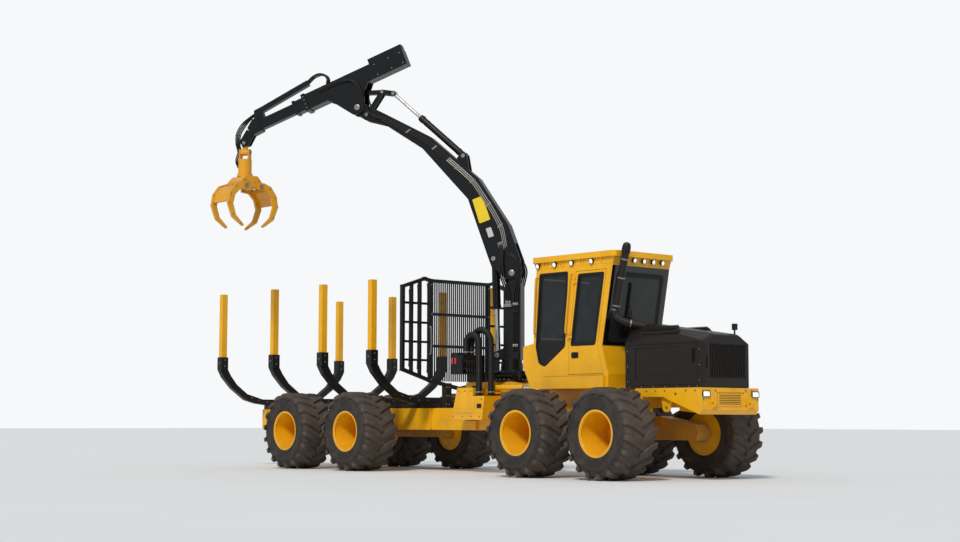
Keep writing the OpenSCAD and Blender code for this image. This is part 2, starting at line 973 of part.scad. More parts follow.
module boom() {
    color("dimgray")
        on_crane() {
            difference() {
                side_plate(-boom_half, boom_half)
                    polygon(boom_outline);
                cross_cyl(boom_pin[0], boom_pin[1], 560, -110, 110);
                cross_cyl(lift_top[0], lift_top[1], 35 + fit, -200, 200);
                cross_cyl(rocker_pin[0], rocker_pin[1], pin_r + fit, -200, 200);
                cross_cyl(tip_pin[0], tip_pin[1], 60, -200, 200);
                block([2080, -90, 6300], [3200, 90, 7100]);
                for (s = [-1, 1])
                    block([2350, s > 0 ? 116 : -200, 6300], [3200, s > 0 ? 200 : -116, 7100]);
            }
            both_sides()
                side_plate(66, 100)
                    difference() {
                        polygon([[780, 5500], [1080, 5760], [990, 5930], [900, 5960], [850, 5900]]);
                        translate(stick_foot)
                            circle(r = pin_r + fit);
                    }
            cross_cyl(boom_pin[0], boom_pin[1], 59.5, -boom_half, boom_half);
        }
}

module stick_barrel() {
    d = rocker_rod - stick_foot;
    color("dimgray")
        on_crane()
            difference() {
                union() {
                    cross_cyl(stick_foot[0], stick_foot[1], 62, -65.5, 65.5);
                    cross_cyl(stick_foot[0], stick_foot[1], pin_r, -108, 108);
                    rod_between(stick_foot, stick_foot + d * stick_gland, stick_cyl_d / 2);
                }
                rod_between(stick_foot + d * 0.08, stick_foot + d * (stick_gland + 0.01),
                            stick_rod_d / 2 + fit);
            }
}

module stick_rod() {
    d = rocker_rod - stick_foot;
    color("silver")
        on_crane() {
            cross_cyl(rocker_rod[0], rocker_rod[1], 58, -45.5, 45.5);
            rod_between(stick_foot + d * 0.35, rocker_rod, stick_rod_d / 2);
        }
}

module rocker() {
    color("dimgray")
        on_crane()
            difference() {
                union() {
                    both_sides()
                        side_plate(46, 70) {
                            bar(rocker_pin, rocker_link, 92);
                            bar(rocker_link, rocker_rod, 92);
                        }
                    cross_cyl(rocker_pin[0], rocker_pin[1], 55, -89.5, 89.5);
                    cross_cyl(rocker_pin[0], rocker_pin[1], pin_r, -124, 124);
                }
                cross_cyl(rocker_link[0], rocker_link[1], pin_r + fit, -80, 80);
            }
}

// Middle of the stick link's front eye, in the crane's plane
link_front = tip_pin + [
    link_eye[0] * cos(stick_fall) + link_eye[1] * sin(stick_fall),
    link_eye[1] * cos(stick_fall) - link_eye[0] * sin(stick_fall)
];

module stick_link() {
    color("dimgray")
        on_crane() {
            side_plate(-45.5, 45.5)
                bar(rocker_link, link_front, 86);
            cross_cyl(rocker_link[0], rocker_link[1], pin_r, -78, 78);
        }
}

module stick() {
    half = stick_w / 2;
    top = stick_base + stick_h;
    color("dimgray")
        on_crane()
            on_stick() {
                difference() {
                    union() {
                        block([-1210, -half, stick_base], [980, half, top]);
                        block([900, -half - 20, stick_base - 20], [980, half + 20, top + 20]);
                        block([-1210, -90, top], [-500, 90, top + 110]);
                    }
                    block([-1180, -half + stick_t, stick_base + stick_t],
                          [900, half - stick_t, top - stick_t]);
                    block([-1180, -half + stick_t + pad, stick_base + stick_t + pad],
                          [981, half - stick_t - pad, top - stick_t - pad]);
                }
                both_sides()
                    side_plate(half - 3, half + 27)
                        difference() {
                            union() {
                                polygon([
                                    [-420, 420], [-230, 200], [-130, -60], [0, -140], [130, -90],
                                    [420, 300], [560, 420]
                                ]);
                                circle(r = 140);
                            }
                            circle(r = 60);
                        }
                cross_cyl(0, 0, 59.5, -half - 30, half + 30);
                both_sides()
                    cross_cyl(link_eye[0], link_eye[1], 60, 46, half);
            }
}

module extension_1() {
    half = stick_w / 2 - stick_t - gap;
    low = stick_base + stick_t + gap;
    high = stick_base + stick_h - stick_t - gap;
    color("dimgray")
        on_crane()
            on_stick()
                difference() {
                    union() {
                        block([-1100, -half, low], [1204, half, high]);
                        block([1150, -half - 14, low - 14], [1204, half + 14, high + 14]);
                        block([-1100, -half - pad, low - pad], [-1040, half + pad, high + pad]);
                    }
                    block([-1080, -half + 20, low + 20], [1120, half - 20, high - 20]);
                    block([-1080, -half + 20 + pad, low + 20 + pad],
                          [1205, half - 20 - pad, high - 20 - pad]);
                }
}

// The hose arch's bends, along the stick and above its tip pin
hose_arch = [[800, 905], [640, 962], [500, 956], [400, 880], [385, 790], [425, 716]];

module extension_2() {
    half = stick_w / 2 - stick_t - 2 * gap - 20;
    low = stick_base + stick_t + 2 * gap + 20;
    high = stick_base + stick_h - stick_t - 2 * gap - 20;
    color("dimgray")
        on_crane()
            on_stick() {
                block([-1000, -half, low], [1960, half, high]);
                // Hose channel over the extensions, its bracket and the arch at its end
                side_plate(-58, 58) {
                    polygon([[780, 950], [1900, 850], [1900, 745], [780, 850]]);
                    polygon([[1840, high - 20], [2080, high - 20], [1990, 850], [1840, 856]]);
                    for (i = [0 : len(hose_arch) - 2])
                        square_bar(hose_arch[i], hose_arch[i + 1], 30);
                }
                block([-1000, -half - pad, low - pad], [-940, half + pad, high + pad]);
                side_plate(-half - 20, half + 20)
                    polygon([
                        [1960, low - 30], [2200, low - 40], [2230, high - 60],
                        [2080, high + 60], [1960, high + 40]
                    ]);
                both_sides()
                    side_plate(40, 64)
                        difference() {
                            polygon([[2150, 400], [2330, 250], [2460, 270], [2480, 400], [2260, 560]]);
                            translate(head_eye)
                                circle(r = 30);
                        }
            }
}

// The head's pin in the crane's plane
hang_pin = tip_pin + [
    head_eye[0] * cos(stick_fall) + head_eye[1] * sin(stick_fall),
    head_eye[1] * cos(stick_fall) - head_eye[0] * sin(stick_fall)
];
cross_drop = 180;
rotor_drop = 320;
frame_drop = 660;
jaw_drop = 860;
// How far a jaw reaches out from its hinge
jaw_reach = 400;

module hanger() {
    color("gold")
        on_crane()
            translate([hang_pin[0], 0, hang_pin[1]]) {
                cross_cyl(0, 0, 55, -39.5, 39.5);
                cross_cyl(0, 0, pin_r, -70, 70);
                block([-45, -34, -cross_drop], [45, 34, 0]);
                translate([-75.5, 0, -cross_drop])
                    rotate([0, 90, 0])
                        cylinder(r = 62, h = 151);
                translate([-112, 0, -cross_drop])
                    rotate([0, 90, 0])
                        cylinder(r = pin_r, h = 224);
            }
}

module rotator() {
    color("gold")
        on_crane()
            translate([hang_pin[0], 0, hang_pin[1]]) {
                difference() {
                    for (s = [-1, 1])
                        block([s > 0 ? 76 : -106, -60, -rotor_drop - 1],
                              [s > 0 ? 106 : -76, 60, -cross_drop + 60]);
                    translate([-120, 0, -cross_drop])
                        rotate([0, 90, 0])
                            cylinder(r = pin_r + fit, h = 240);
                }
                translate([0, 0, -frame_drop + 60])
                    cylinder(r = 130, h = frame_drop - 60 - rotor_drop);
            }
}

// The grapple's own axes are the machine's: logs lie along X
module on_grapple() {
    translate([
        -crane_x + hang_pin[0] * cos(slew_deg),
        hang_pin[0] * sin(slew_deg),
        hang_pin[1]
    ])
        children();
}

module grapple_frame() {
    w = jaw_w / 2 - 70;
    color("gold")
        on_grapple() {
            translate([0, 0, -frame_drop])
                cylinder(r = 150, h = 59.5);
            translate([-w, 0, -frame_drop - 150])
                rotate([90, 0, 90])
                    linear_extrude(2 * w)
                        polygon([
                            [-130, 150], [130, 150], [230, 40], [230, -60], [-230, -60], [-230, 40]
                        ]);
            for (s = [-1, 1])
                translate([-jaw_w / 2 - 8, s * jaw_hinge, -jaw_drop])
                    rotate([0, 90, 0])
                        cylinder(r = pin_r, h = jaw_w + 16);
        }
}

// A jaw: side is -1 for the right jaw and 1 for the left one
module jaw(side) {
    w = jaw_w / 2;
    color("gold")
        on_grapple()
            translate([0, side * jaw_hinge, -jaw_drop])
                scale([1, side, 1]) {
                    for (s = [-1, 1])
                        translate([s > 0 ? w - 60 : -w, 0, 0])
                            rotate([90, 0, 90])
                                linear_extrude(60)
                                    difference() {
                                    polygon([
                                        [-60, 50], [60, 70], [230, 10], [360, -160], [jaw_reach, -380],
                                        [300, -640], [60, -800], [40, -770], [220, -600],
                                        [290, -380], [240, -200], [120, -80], [-50, -60]
                                    ]);
                                    circle(r = pin_r + fit);
                                    }
                    translate([-w, 0, 0])
                        rotate([90, 0, 90])
                            linear_extrude(2 * w)
                                polygon([
                                    [150, -30], [225, -18], [335, -150], [375, -330], [350, -340],
                                    [300, -190], [215, -70], [150, -80]
                                ]);
                    for (x = [-w / 3, w / 3])
                        translate([x - 20, 0, 0])
                            rotate([90, 0, 90])
                                linear_extrude(40)
                                    polygon([[150, 18], [200, 12], [240, -30], [225, -60], [150, -50]]);
                }
}

// Where the centre joint lies from the origin below the machine's middle
origin_shift = [
    round((rear_len - front_len - tow_out - tow_edge) / 2),
    round((jaw_hinge + jaw_reach - hang_pin[0] * sin(slew_deg) - wheel_y - tyre_w / 2) / 2),
    0
];

module placed() {
    translate(origin_shift)
        children();
}

placed() rear_frame();
placed() bogie_axle(-rear_axle_x, rear_spacing);  // rear_axle
placed() side_tanks();
placed() gate();
placed() bunk();
placed() stakes();
placed() crane_base();
placed() valve_bank();
placed() steer_barrel(-1);  // steer_barrel_r
placed() steer_barrel(1);  // steer_barrel_l
placed() steer_rod(-1);  // steer_rod_r
placed() steer_rod(1);  // steer_rod_l
placed() front_frame();
placed() bogie_axle(front_axle_x, front_spacing);  // front_axle
placed() bumper();
placed() hood();
placed() grille_door();
placed() engine();
placed() intake();
placed() cab();
placed() roof();
placed() lamps();
placed() door();
placed() door_glass();
placed() cab_glass();
placed() seat();
placed() column();
placed() lift_barrel();
placed() lift_rod();
placed() boom();
placed() stick_barrel();
placed() stick_rod();
placed() rocker();
placed() stick_link();
placed() stick();
placed() extension_1();
placed() extension_2();
placed() hanger();
placed() rotator();
placed() grapple_frame();
placed() jaw(-1);  // jaw_r
placed() jaw(1);  // jaw_l
for (w = wheels) {
    placed() tyre(w[1], w[2]);
    placed() rim(w[1], w[2]);
}
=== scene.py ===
import math

import bmesh
import bpy
from mathutils import Matrix, Vector


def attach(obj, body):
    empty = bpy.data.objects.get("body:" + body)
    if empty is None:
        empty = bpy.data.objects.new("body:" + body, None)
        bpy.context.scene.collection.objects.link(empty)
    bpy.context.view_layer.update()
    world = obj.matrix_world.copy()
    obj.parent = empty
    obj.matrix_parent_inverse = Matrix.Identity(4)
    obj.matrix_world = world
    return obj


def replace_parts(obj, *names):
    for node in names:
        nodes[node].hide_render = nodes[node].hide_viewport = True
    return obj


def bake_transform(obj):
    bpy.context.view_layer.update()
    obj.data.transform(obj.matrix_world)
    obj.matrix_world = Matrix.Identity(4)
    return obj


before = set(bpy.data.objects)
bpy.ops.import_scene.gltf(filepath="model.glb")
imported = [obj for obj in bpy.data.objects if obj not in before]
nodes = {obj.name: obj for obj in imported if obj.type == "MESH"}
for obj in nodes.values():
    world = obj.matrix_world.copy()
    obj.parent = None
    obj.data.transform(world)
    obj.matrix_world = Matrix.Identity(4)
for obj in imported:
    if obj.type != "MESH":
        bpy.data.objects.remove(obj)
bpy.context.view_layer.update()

# ---- Studio ----
# A pale floor and a white surround, one broad lamp like a hazy sun from ahead on the right,
# and the camera about a metre off the ground, where the photograph was taken from.
scene = bpy.context.scene
scene.view_settings.view_transform = "Standard"

CAMERA_AT = Vector((23.828, -19.730, 0.945))
CAMERA_YAW, CAMERA_PITCH, CAMERA_ROLL = (math.radians(a) for a in (138.836, 5.142, 0.126))
FOCAL_PX = 1669.569
PHOTO_WIDTH_PX = 960
SENSOR_MM = 36.0
SEES_AS_FAR_AS = 500
X, Y, UP = Vector((1, 0, 0)), Vector((0, 1, 0)), Vector((0, 0, 1))

looking = Vector((math.cos(CAMERA_YAW) * math.cos(CAMERA_PITCH),
                  math.sin(CAMERA_YAW) * math.cos(CAMERA_PITCH), math.sin(CAMERA_PITCH)))
level_right = looking.cross(UP).normalized()
level_up = level_right.cross(looking)
camera_right = level_right * math.cos(CAMERA_ROLL) + level_up * math.sin(CAMERA_ROLL)
camera_up = level_up * math.cos(CAMERA_ROLL) - level_right * math.sin(CAMERA_ROLL)
camera = bpy.data.objects.new("camera", bpy.data.cameras.new("camera"))
camera.data.sensor_width = SENSOR_MM
camera.data.lens = FOCAL_PX * SENSOR_MM / PHOTO_WIDTH_PX
camera.data.clip_end = SEES_AS_FAR_AS
camera.matrix_world = Matrix.Translation(CAMERA_AT) @ Matrix(
    (camera_right, camera_up, -looking)).transposed().to_4x4()
scene.collection.objects.link(camera)
scene.camera = camera

SUN_FROM = Vector((0.42, -0.72, 0.78))
SUN_STRENGTH = 2.1
SUN_WIDTH = math.radians(9)
SUN_TINT = (1.0, 0.965, 0.91)
sun = bpy.data.objects.new("key_lamp", bpy.data.lights.new("key_lamp", "SUN"))
sun.data.energy = SUN_STRENGTH
sun.data.angle = SUN_WIDTH
sun.data.color = SUN_TINT
sun.rotation_euler = SUN_FROM.to_track_quat("Z", "Y").to_euler()
scene.collection.objects.link(sun)


def feed(shader, sockets):
    """Sets a shader node's inputs, each to a plain value or to the output that feeds it."""
    for socket, value in sockets.items():
        if isinstance(value, bpy.types.NodeSocket):
            shader.id_data.links.new(value, shader.inputs[socket])
        else:
            shader.inputs[socket].default_value = value
    return shader


def node(tree, kind, sockets=None, **settings):
    """Adds a shader node with its settings and inputs."""
    added = tree.nodes.new("ShaderNode" + kind)
    for key, value in settings.items():
        setattr(added, key, value)
    return feed(added, sockets or {})


def principled(name):
    """A new material, its tree and its main shader."""
    material = bpy.data.materials.new(name)
    material.use_nodes = True
    return material, material.node_tree, material.node_tree.nodes["Principled BSDF"]


def local(tree):
    return node(tree, "TexCoord").outputs["Object"]


def noise(tree, scale, detail, rough=0.5):
    return node(tree, "TexNoise", {"Vector": local(tree), "Scale": scale, "Detail": detail,
                                   "Roughness": rough}).outputs[0]


def ramp(value, low, high, to_low=0.0, to_high=1.0):
    return node(value.id_data, "MapRange", {0: value, 1: low, 2: high, 3: to_low, 4: to_high}).outputs[0]


AMBIENT = {"Color": (0.86, 0.93, 1.0, 1), "Strength": 0.52}
BACKDROP = {"Color": (0.93, 0.94, 0.95, 1), "Strength": 1.0}
world = bpy.data.worlds.new("surround")
scene.world = world
world.use_nodes = True
sky = world.node_tree
sky.nodes.clear()
ray = node(sky, "LightPath")
seen = node(sky, "Math", {0: ray.outputs["Is Camera Ray"], 1: ray.outputs["Is Transmission Ray"]},
            operation="MAXIMUM")
surround = node(sky, "MixShader", {0: seen.outputs[0], 1: node(sky, "Background", AMBIENT).outputs[0],
                                   2: node(sky, "Background", BACKDROP).outputs[0]})
node(sky, "OutputWorld", {0: surround.outputs[0]})

FLOOR_REACH = 160
floor_mesh = bpy.data.meshes.new("studio_floor")
floor_mesh.from_pydata([(x * FLOOR_REACH, y * FLOOR_REACH, 0) for x, y in ((-1, -1), (1, -1), (1, 1), (-1, 1))],
                       [], [(0, 1, 2, 3)])
floor = bpy.data.objects.new("studio_floor", floor_mesh)
scene.collection.objects.link(floor)
floor_finish, tree, shader = principled("pale_floor")
feed(shader, {"Base Color": ramp(noise(tree, 0.35, 3), 0.0, 1.0, 0.76, 0.80), "Roughness": 0.9})
floor_mesh.materials.append(floor_finish)

# ---- Painted frames ----
# Welded and machined steel, sprayed a deep yellow over primer. Edges are rubbed, and the
# paint gets duller and browner toward the ground, where dry soil has blown and stuck.
SOIL = (0.235, 0.165, 0.115, 1)
PRIMER = (0.10, 0.085, 0.075, 1)
YELLOW = (0.93, 0.46, 0.004, 1)


def mix(factor, first, second):
    """Output of a colour mix; the two colours are values or outputs."""
    return node(factor.id_data, "Mix", {0: factor, 6: first, 7: second}, data_type="RGBA").outputs[2]


def maths(operation, first, second=0.0, clamp=False):
    return node(first.id_data, "Math", {0: first, 1: second}, operation=operation, use_clamp=clamp).outputs[0]


def times(first, second, clamp=False):
    return maths("MULTIPLY", first, second, clamp)


def bump(height, strength, distance, **more):
    return node(height.id_data, "Bump", {"Strength": strength, "Distance": distance, "Height": height,
                                         **more}).outputs[0]


def painted(name, colour, rough, reach, amount, rounding=0.010, chips=0.55, coat=0.16, shelf=0.75,
            gloss=0.36):
    """Sprayed steel: mottled colour, rubbed edges and a light orange peel. Soil lies low down, below
    the reach, and on what faces up, broken up by noise."""
    material, tree, shader = principled(name)
    blotch, speck = noise(tree, 2.3, 7, 0.62), noise(tree, 34.0, 4)
    height = node(tree, "SeparateXYZ", {0: local(tree)}).outputs[2]
    normal = node(tree, "NewGeometry").outputs["Normal"]
    level = node(tree, "SeparateXYZ", {0: normal}).outputs[2]
    cover = maths("MAXIMUM", ramp(height, reach, 0.1), ramp(level, 0.35, 1.0, 0.0, shelf))
    broken = times(cover, ramp(blotch, 0.36, 0.66, 0.15, 1.0))
    soil = times(times(broken, ramp(speck, 0.3, 0.7, 0.65, 1.15)), amount, clamp=True)
    edge = node(tree, "Bevel", {"Radius": rounding}, samples=4).outputs[0]
    turn = node(tree, "VectorMath", {0: edge, 1: normal}, operation="DOT_PRODUCT").outputs["Value"]
    worn = times(ramp(turn, 0.995, 0.90), ramp(speck, 0.52, 0.62, 0.0, chips), clamp=True)
    deep = tuple(c * 0.80 for c in colour[:3]) + (1,)
    chipped = mix(worn, mix(ramp(blotch, 0.3, 0.72), colour, deep), PRIMER)
    dull = ramp(speck, 0.3, 0.7, rough - 0.06, rough + 0.08)
    relief = maths("ADD", times(noise(tree, 140.0, 2), 0.3), soil)
    feed(shader, {
        "Base Color": mix(soil, chipped, SOIL), "Roughness": maths("ADD", dull, times(soil, 0.45), clamp=True),
        "Normal": bump(relief, 0.16, 0.004, Normal=edge), "Specular IOR Level": gloss, "Coat Weight": coat,
        "Coat Roughness": 0.12})
    return material


def dress(material, *names):
    """Gives CAD nodes whose shape is right their finish."""
    for name in names:
        for slot in nodes[name].material_slots:
            slot.material = material


frame_yellow = painted("frame_enamel", YELLOW, 0.32, 1.30, 0.50, shelf=0.42)
dress(frame_yellow, "rear_frame", "side_tanks", "front_frame", "bumper", "steer_barrel_r", "steer_barrel_l")
upper_yellow = painted("cab_enamel", YELLOW, 0.28, 0.4, 0.36, chips=0.7, coat=0.22, shelf=0.30)
dress(upper_yellow, "cab", "door", "roof")
dress(painted("stake_enamel", YELLOW, 0.36, 0.4, 0.45, chips=0.95), "stakes")
dress(painted("grapple_enamel", (0.82, 0.37, 0.010, 1), 0.34, 0.4, 0.55, chips=0.9),
      "hanger", "rotator", "grapple_frame", "jaw_r", "jaw_l")

# ---- Axles ----
# Cast bogie cases that pivot on each axle, in the frame's yellow. They sit between the wheels,
# so soil covers most of them.
dress(painted("soiled_axle_enamel", (0.72, 0.33, 0.010, 1), 0.48, 1.9, 0.85, coat=0.1),
      "front_axle", "rear_axle")

# ---- Black steel and polished rods ----
# The gate, bunk and crane are sprayed a satin black and the hood a browner one, with a thin film of
# dust on what faces up. The rods are ground and chromed, with a film of oil.
crane_black = painted("crane_enamel", (0.0045, 0.0045, 0.0050, 1), 0.30, 0.4, 0.26, chips=0.25, coat=0.12,
                      shelf=0.20, gloss=0.28)
dress(crane_black, "column", "boom", "stick", "extension_1", "extension_2", "lift_barrel", "stick_barrel",
      "rocker", "stick_link", "crane_base", "valve_bank")
bunk_black = painted("bunk_enamel", (0.0060, 0.0058, 0.0058, 1), 0.38, 1.9, 0.34, chips=0.35, coat=0.05,
                     shelf=0.30, gloss=0.28)
dress(bunk_black, "gate", "bunk")
hood_brown = painted("hood_enamel", (0.0125, 0.0086, 0.0062, 1), 0.36, 1.7, 0.26, chips=0.15, coat=0.08,
                     shelf=0.20, gloss=0.30)
dress(hood_brown, "hood", "grille_door", "intake")
dress(painted("engine_grey", (0.16, 0.16, 0.16, 1), 0.5, 1.9, 0.4), "engine")

chrome, tree, shader = principled("polished_rod")
film = noise(tree, 9.0, 5)
feed(shader, {"Base Color": mix(film, (0.80, 0.80, 0.82, 1), (0.60, 0.59, 0.57, 1)), "Metallic": 1.0,
              "Roughness": ramp(film, 0.3, 0.7, 0.10, 0.26)})
dress(chrome, "lift_rod", "stick_rod", "steer_rod_r", "steer_rod_l")

# ---- Tyres ----
# Bias-ply forestry tyres: a smooth side with a raised ring, and eighteen arms on each half of the
# tread that sweep from the shoulder to two pads near the middle. Dry soil fills the grooves.
MIDDLE = Vector((1.824, 0.915, 0))
SIDES = {"r": -1, "l": 1}
AXLES_X = (3.07, 1.17, -3.62, -5.62)
TYRE_R = 0.750
TYRE_Y = 1.294
ARMS = 18
wheels = {"%d%s" % (k, name): (x, side) for k, x in enumerate(AXLES_X, 1) for name, side in SIDES.items()}


def skin(name, built, finish, smooth):
    """A finished bmesh as a mesh with its material, smooth but for its sharp edges."""
    mesh = bpy.data.meshes.new(name)
    bmesh.ops.recalc_face_normals(built, faces=built.faces)
    built.to_mesh(mesh)
    built.free()
    for face in mesh.polygons:
        face.use_smooth = True
    mesh.set_sharp_from_angle(angle=math.radians(smooth))
    mesh.materials.append(finish)
    return mesh


def turned(built, profile, middle, axis, steps=48):
    """A revolved skin; the profile is (radius, distance along the axis) from the middle, and one that
    keeps away from the axis at both ends is closed on itself as a ring."""
    axis = Vector(axis).normalized()
    across = axis.orthogonal().normalized()
    other = axis.cross(across)
    rings = []
    for step in range(steps):
        angle = 2 * math.pi * step / steps
        out = across * math.cos(angle) + other * math.sin(angle)
        rings.append([built.verts.new(Vector(middle) + out * radius + axis * along)
                      for radius, along in profile])
    ringed = min(profile[0][0], profile[-1][0]) > 0.001
    for step in range(steps):
        here, there = rings[step], rings[(step + 1) % steps]
        for k in range(-1 if ringed else 0, len(profile) - 1):
            built.faces.new((here[k], there[k], there[k + 1], here[k + 1]))
    if not ringed:
        for end in (0, -1):
            built.faces.new([ring[end] for ring in rings])


def smoothed(points, fine=6):
    """A round line through the points, as a Catmull-Rom curve."""
    points = [Vector(p) for p in points]
    line = []
    for i in range(len(points) - 1):
        before = points[i - 1] if i else points[0] * 2 - points[1]
        start, end = points[i], points[i + 1]
        after = points[i + 2] if i + 2 < len(points) else points[-1] * 2 - points[-2]
        for step in range(fine):
            t = step / fine
            line.append(0.5 * (2 * start + (end - before) * t
                               + (2 * before - 5 * start + 4 * end - after) * t * t
                               + (3 * start - before - 3 * end + after) * t ** 3))
    return line + [points[-1]]


rubber, tree, shader = principled("soiled_rubber")
place = node(tree, "SeparateXYZ", {0: local(tree)})
out = maths("SQRT", maths("ADD", times(place.outputs[0], place.outputs[0]),
                          times(place.outputs[2], place.outputs[2])))
cloud, grit = noise(tree, 5.0, 8, 0.65), noise(tree, 60.0, 4)
tread_soil = ramp(out, 0.615, 0.700, 0.0, 0.72)
groove_soil = ramp(out, 0.742, 0.712, 0.0, 0.30)
side_soil = ramp(cloud, 0.42, 0.72, 0.10, 0.42)
cover = maths("MAXIMUM", maths("ADD", tread_soil, times(groove_soil, tread_soil)), side_soil)
broken = times(cover, ramp(cloud, 0.30, 0.62, 0.55, 1.15), clamp=True)
soiled = times(broken, ramp(grit, 0.35, 0.60, 0.70, 1.05), clamp=True)
feed(shader, {
    "Base Color": mix(soiled, (0.020, 0.0175, 0.016, 1), (0.115, 0.088, 0.070, 1)),
    "Roughness": ramp(soiled, 0.0, 0.8, 0.55, 0.93), "Specular IOR Level": 0.26,
    "Normal": bump(maths("ADD", times(grit, 0.6), soiled), 0.5, 0.005)})

# Side of the casing from the bead to the middle of the tread: (radius, distance from the middle)
casing = smoothed([(0.3775, 0.312), (0.379, 0.333), (0.392, 0.352), (0.412, 0.362), (0.430, 0.371),
                   (0.452, 0.362), (0.500, 0.366), (0.556, 0.368), (0.566, 0.3735), (0.590, 0.3735),
                   (0.600, 0.366), (0.640, 0.352), (0.672, 0.330), (0.694, 0.285), (0.703, 0.200),
                   (0.706, 0.080)], fine=2)

# An arm's stations: distance from the middle, lead ahead of its centre, top radius, foot radius,
# half width at the top
arm_stations = [
    (0.004, -0.103, 0.7475, 0.700, 0.040), (0.010, -0.098, 0.7495, 0.700, 0.047),
    (0.075, -0.060, 0.7500, 0.700, 0.052), (0.085, -0.054, 0.7500, 0.700, 0.043),
    (0.095, -0.048, 0.7500, 0.700, 0.052), (0.180, 0.000, 0.7490, 0.698, 0.054),
    (0.250, 0.034, 0.7475, 0.692, 0.050), (0.310, 0.056, 0.7440, 0.672, 0.046),
    (0.344, 0.066, 0.7360, 0.655, 0.043), (0.364, 0.072, 0.7180, 0.640, 0.040),
    (0.3735, 0.077, 0.6850, 0.630, 0.036), (0.3740, 0.080, 0.6550, 0.625, 0.032),
]
tread = bmesh.new()
turned(tread, [(p.x, p.y) for p in casing] + [(p.x, -p.y) for p in reversed(casing)], (0, 0, 0), Y, steps=96)
for half in (-1, 1):
    for arm in range(ARMS):
        turn = -math.pi / 2 + (arm + (0.5 if half > 0 else 0.0)) * 2 * math.pi / ARMS
        sections = []
        for away, lead, top, foot, wide in arm_stations:
            section = []
            for side, radius in ((-1.30, foot), (-1.0, top - 0.006), (-0.88, top), (0.88, top),
                                 (1.0, top - 0.006), (1.30, foot)):
                angle = turn + (lead + side * wide) / TYRE_R
                section.append(tread.verts.new(
                    (radius * math.cos(angle), half * away, radius * math.sin(angle))))
            sections.append(section)
        for one, two in zip(sections, sections[1:]):
            for k in range(5):
                tread.faces.new((one[k], one[k + 1], two[k + 1], two[k]))
        tread.faces.new(sections[0])
        tread.faces.new(list(reversed(sections[-1])))
tyre_mesh = skin("tyre", tread, rubber, 32)
for name, (x, side) in wheels.items():
    tyre = bpy.data.objects.new("tyre_piece_" + name, tyre_mesh)
    tyre.location = MIDDLE + Vector((x, side * TYRE_Y, TYRE_R))
    scene.collection.objects.link(tyre)
    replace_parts(tyre, "tyre_" + name)
    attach(tyre, "wheel_" + name)

# ---- Rims and hubs ----
# Deep dished steel rims in the frame's yellow. The bowl ends in a ring of studs and nuts round the
# planetary hub, and a split ring and a valve sit at the outer edge.
rim_yellow = painted("rim_enamel", YELLOW, 0.30, 0.9, 0.30, chips=0.35, coat=0.22, shelf=0.2)
dress(rim_yellow, *("rim_" + name for name in wheels))

bare_steel, tree, shader = principled("zinc_plated_steel")
film = noise(tree, 40.0, 5)
feed(shader, {"Base Color": mix(film, (0.42, 0.41, 0.38, 1), (0.20, 0.18, 0.15, 1)), "Metallic": 0.85,
              "Roughness": ramp(film, 0.3, 0.7, 0.28, 0.55)})


def made(name, built, finish, body, slot, smooth=35, bevel=0.0):
    """Puts a finished bmesh on its body with its material."""
    piece = bpy.data.objects.new(name, skin(name, built, finish, smooth))
    scene.collection.objects.link(piece)
    if bevel:
        rounding = piece.modifiers.new("rounded_edges", "BEVEL")
        rounding.width = bevel
        rounding.segments = 2
        rounding.limit_method = "ANGLE"
        rounding.harden_normals = True
    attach(piece, body)
    return piece


def in_steel(name, built, body, **more):
    return made(name, built, bare_steel, body, "rod_steel", **more)


def nut(built, at, axis, radius, height, stud=0.0):
    """A hexagon head on a washer, with a stud end where one shows."""
    turned(built, [(radius * 1.25, 0), (radius * 1.25, height * 0.16), (0.0005, height * 0.16)], at, axis, 16)
    turned(built, [(radius, height * 0.15), (radius, height * 0.85), (radius * 0.82, height), (0.0005, height)],
           at, axis, 6)
    if stud:
        turned(built, [(radius * 0.5, height * 0.9), (radius * 0.5, height + stud * 0.8),
                       (radius * 0.4, height + stud), (0.0005, height + stud)], at, axis, 12)


def nuts(built, places, *sizes, **more):
    """The same nut at each place."""
    for at in places:
        nut(built, at, *sizes, **more)


def circle(count, radius, at, first=X, second=Y, start=0.0):
    """Points round a circle in the plane of two directions."""
    angles = [2 * math.pi * (k + start) / count for k in range(count)]
    return [at + (first * math.cos(a) + second * math.sin(a)) * radius for a in angles]


for name, (x, side) in wheels.items():
    centre = MIDDLE + Vector((x, 0, TYRE_R))
    outward = Y * side
    hardware = bmesh.new()
    nuts(hardware, circle(16, 0.214, centre + outward * 0.9985, X, UP), outward, 0.0165, 0.022, stud=0.014)
    nuts(hardware, circle(8, 0.112, centre + outward * 1.0435, X, UP, 0.5), outward, 0.010, 0.010)
    in_steel("wheel_nuts_" + name, hardware, "wheel_" + name, smooth=30)
    cover = bmesh.new()
    turned(cover, [(0.134, 0), (0.134, 0.004), (0.092, 0.004), (0.086, 0.018), (0.050, 0.024), (0.046, 0.032),
                   (0.0005, 0.034)], centre + outward * 1.042, outward, 40)
    turned(cover, [(0.352, 0), (0.354, 0.010), (0.345, 0.014), (0.338, 0.008), (0.337, 0)],
           centre + outward * 1.616, outward, 64)
    made("hub_cover_" + name, cover, rim_yellow, "wheel_" + name, "yellow_paint", smooth=30)
    valve = bmesh.new()
    turned(valve, [(0.005, 0), (0.005, 0.030), (0.007, 0.030), (0.007, 0.046), (0.0005, 0.047)],
           centre + Vector((0.30, side * 1.30, 0.11)), (-0.25, side, -0.1), 12)
    in_steel("valve_" + name, valve, "wheel_" + name)

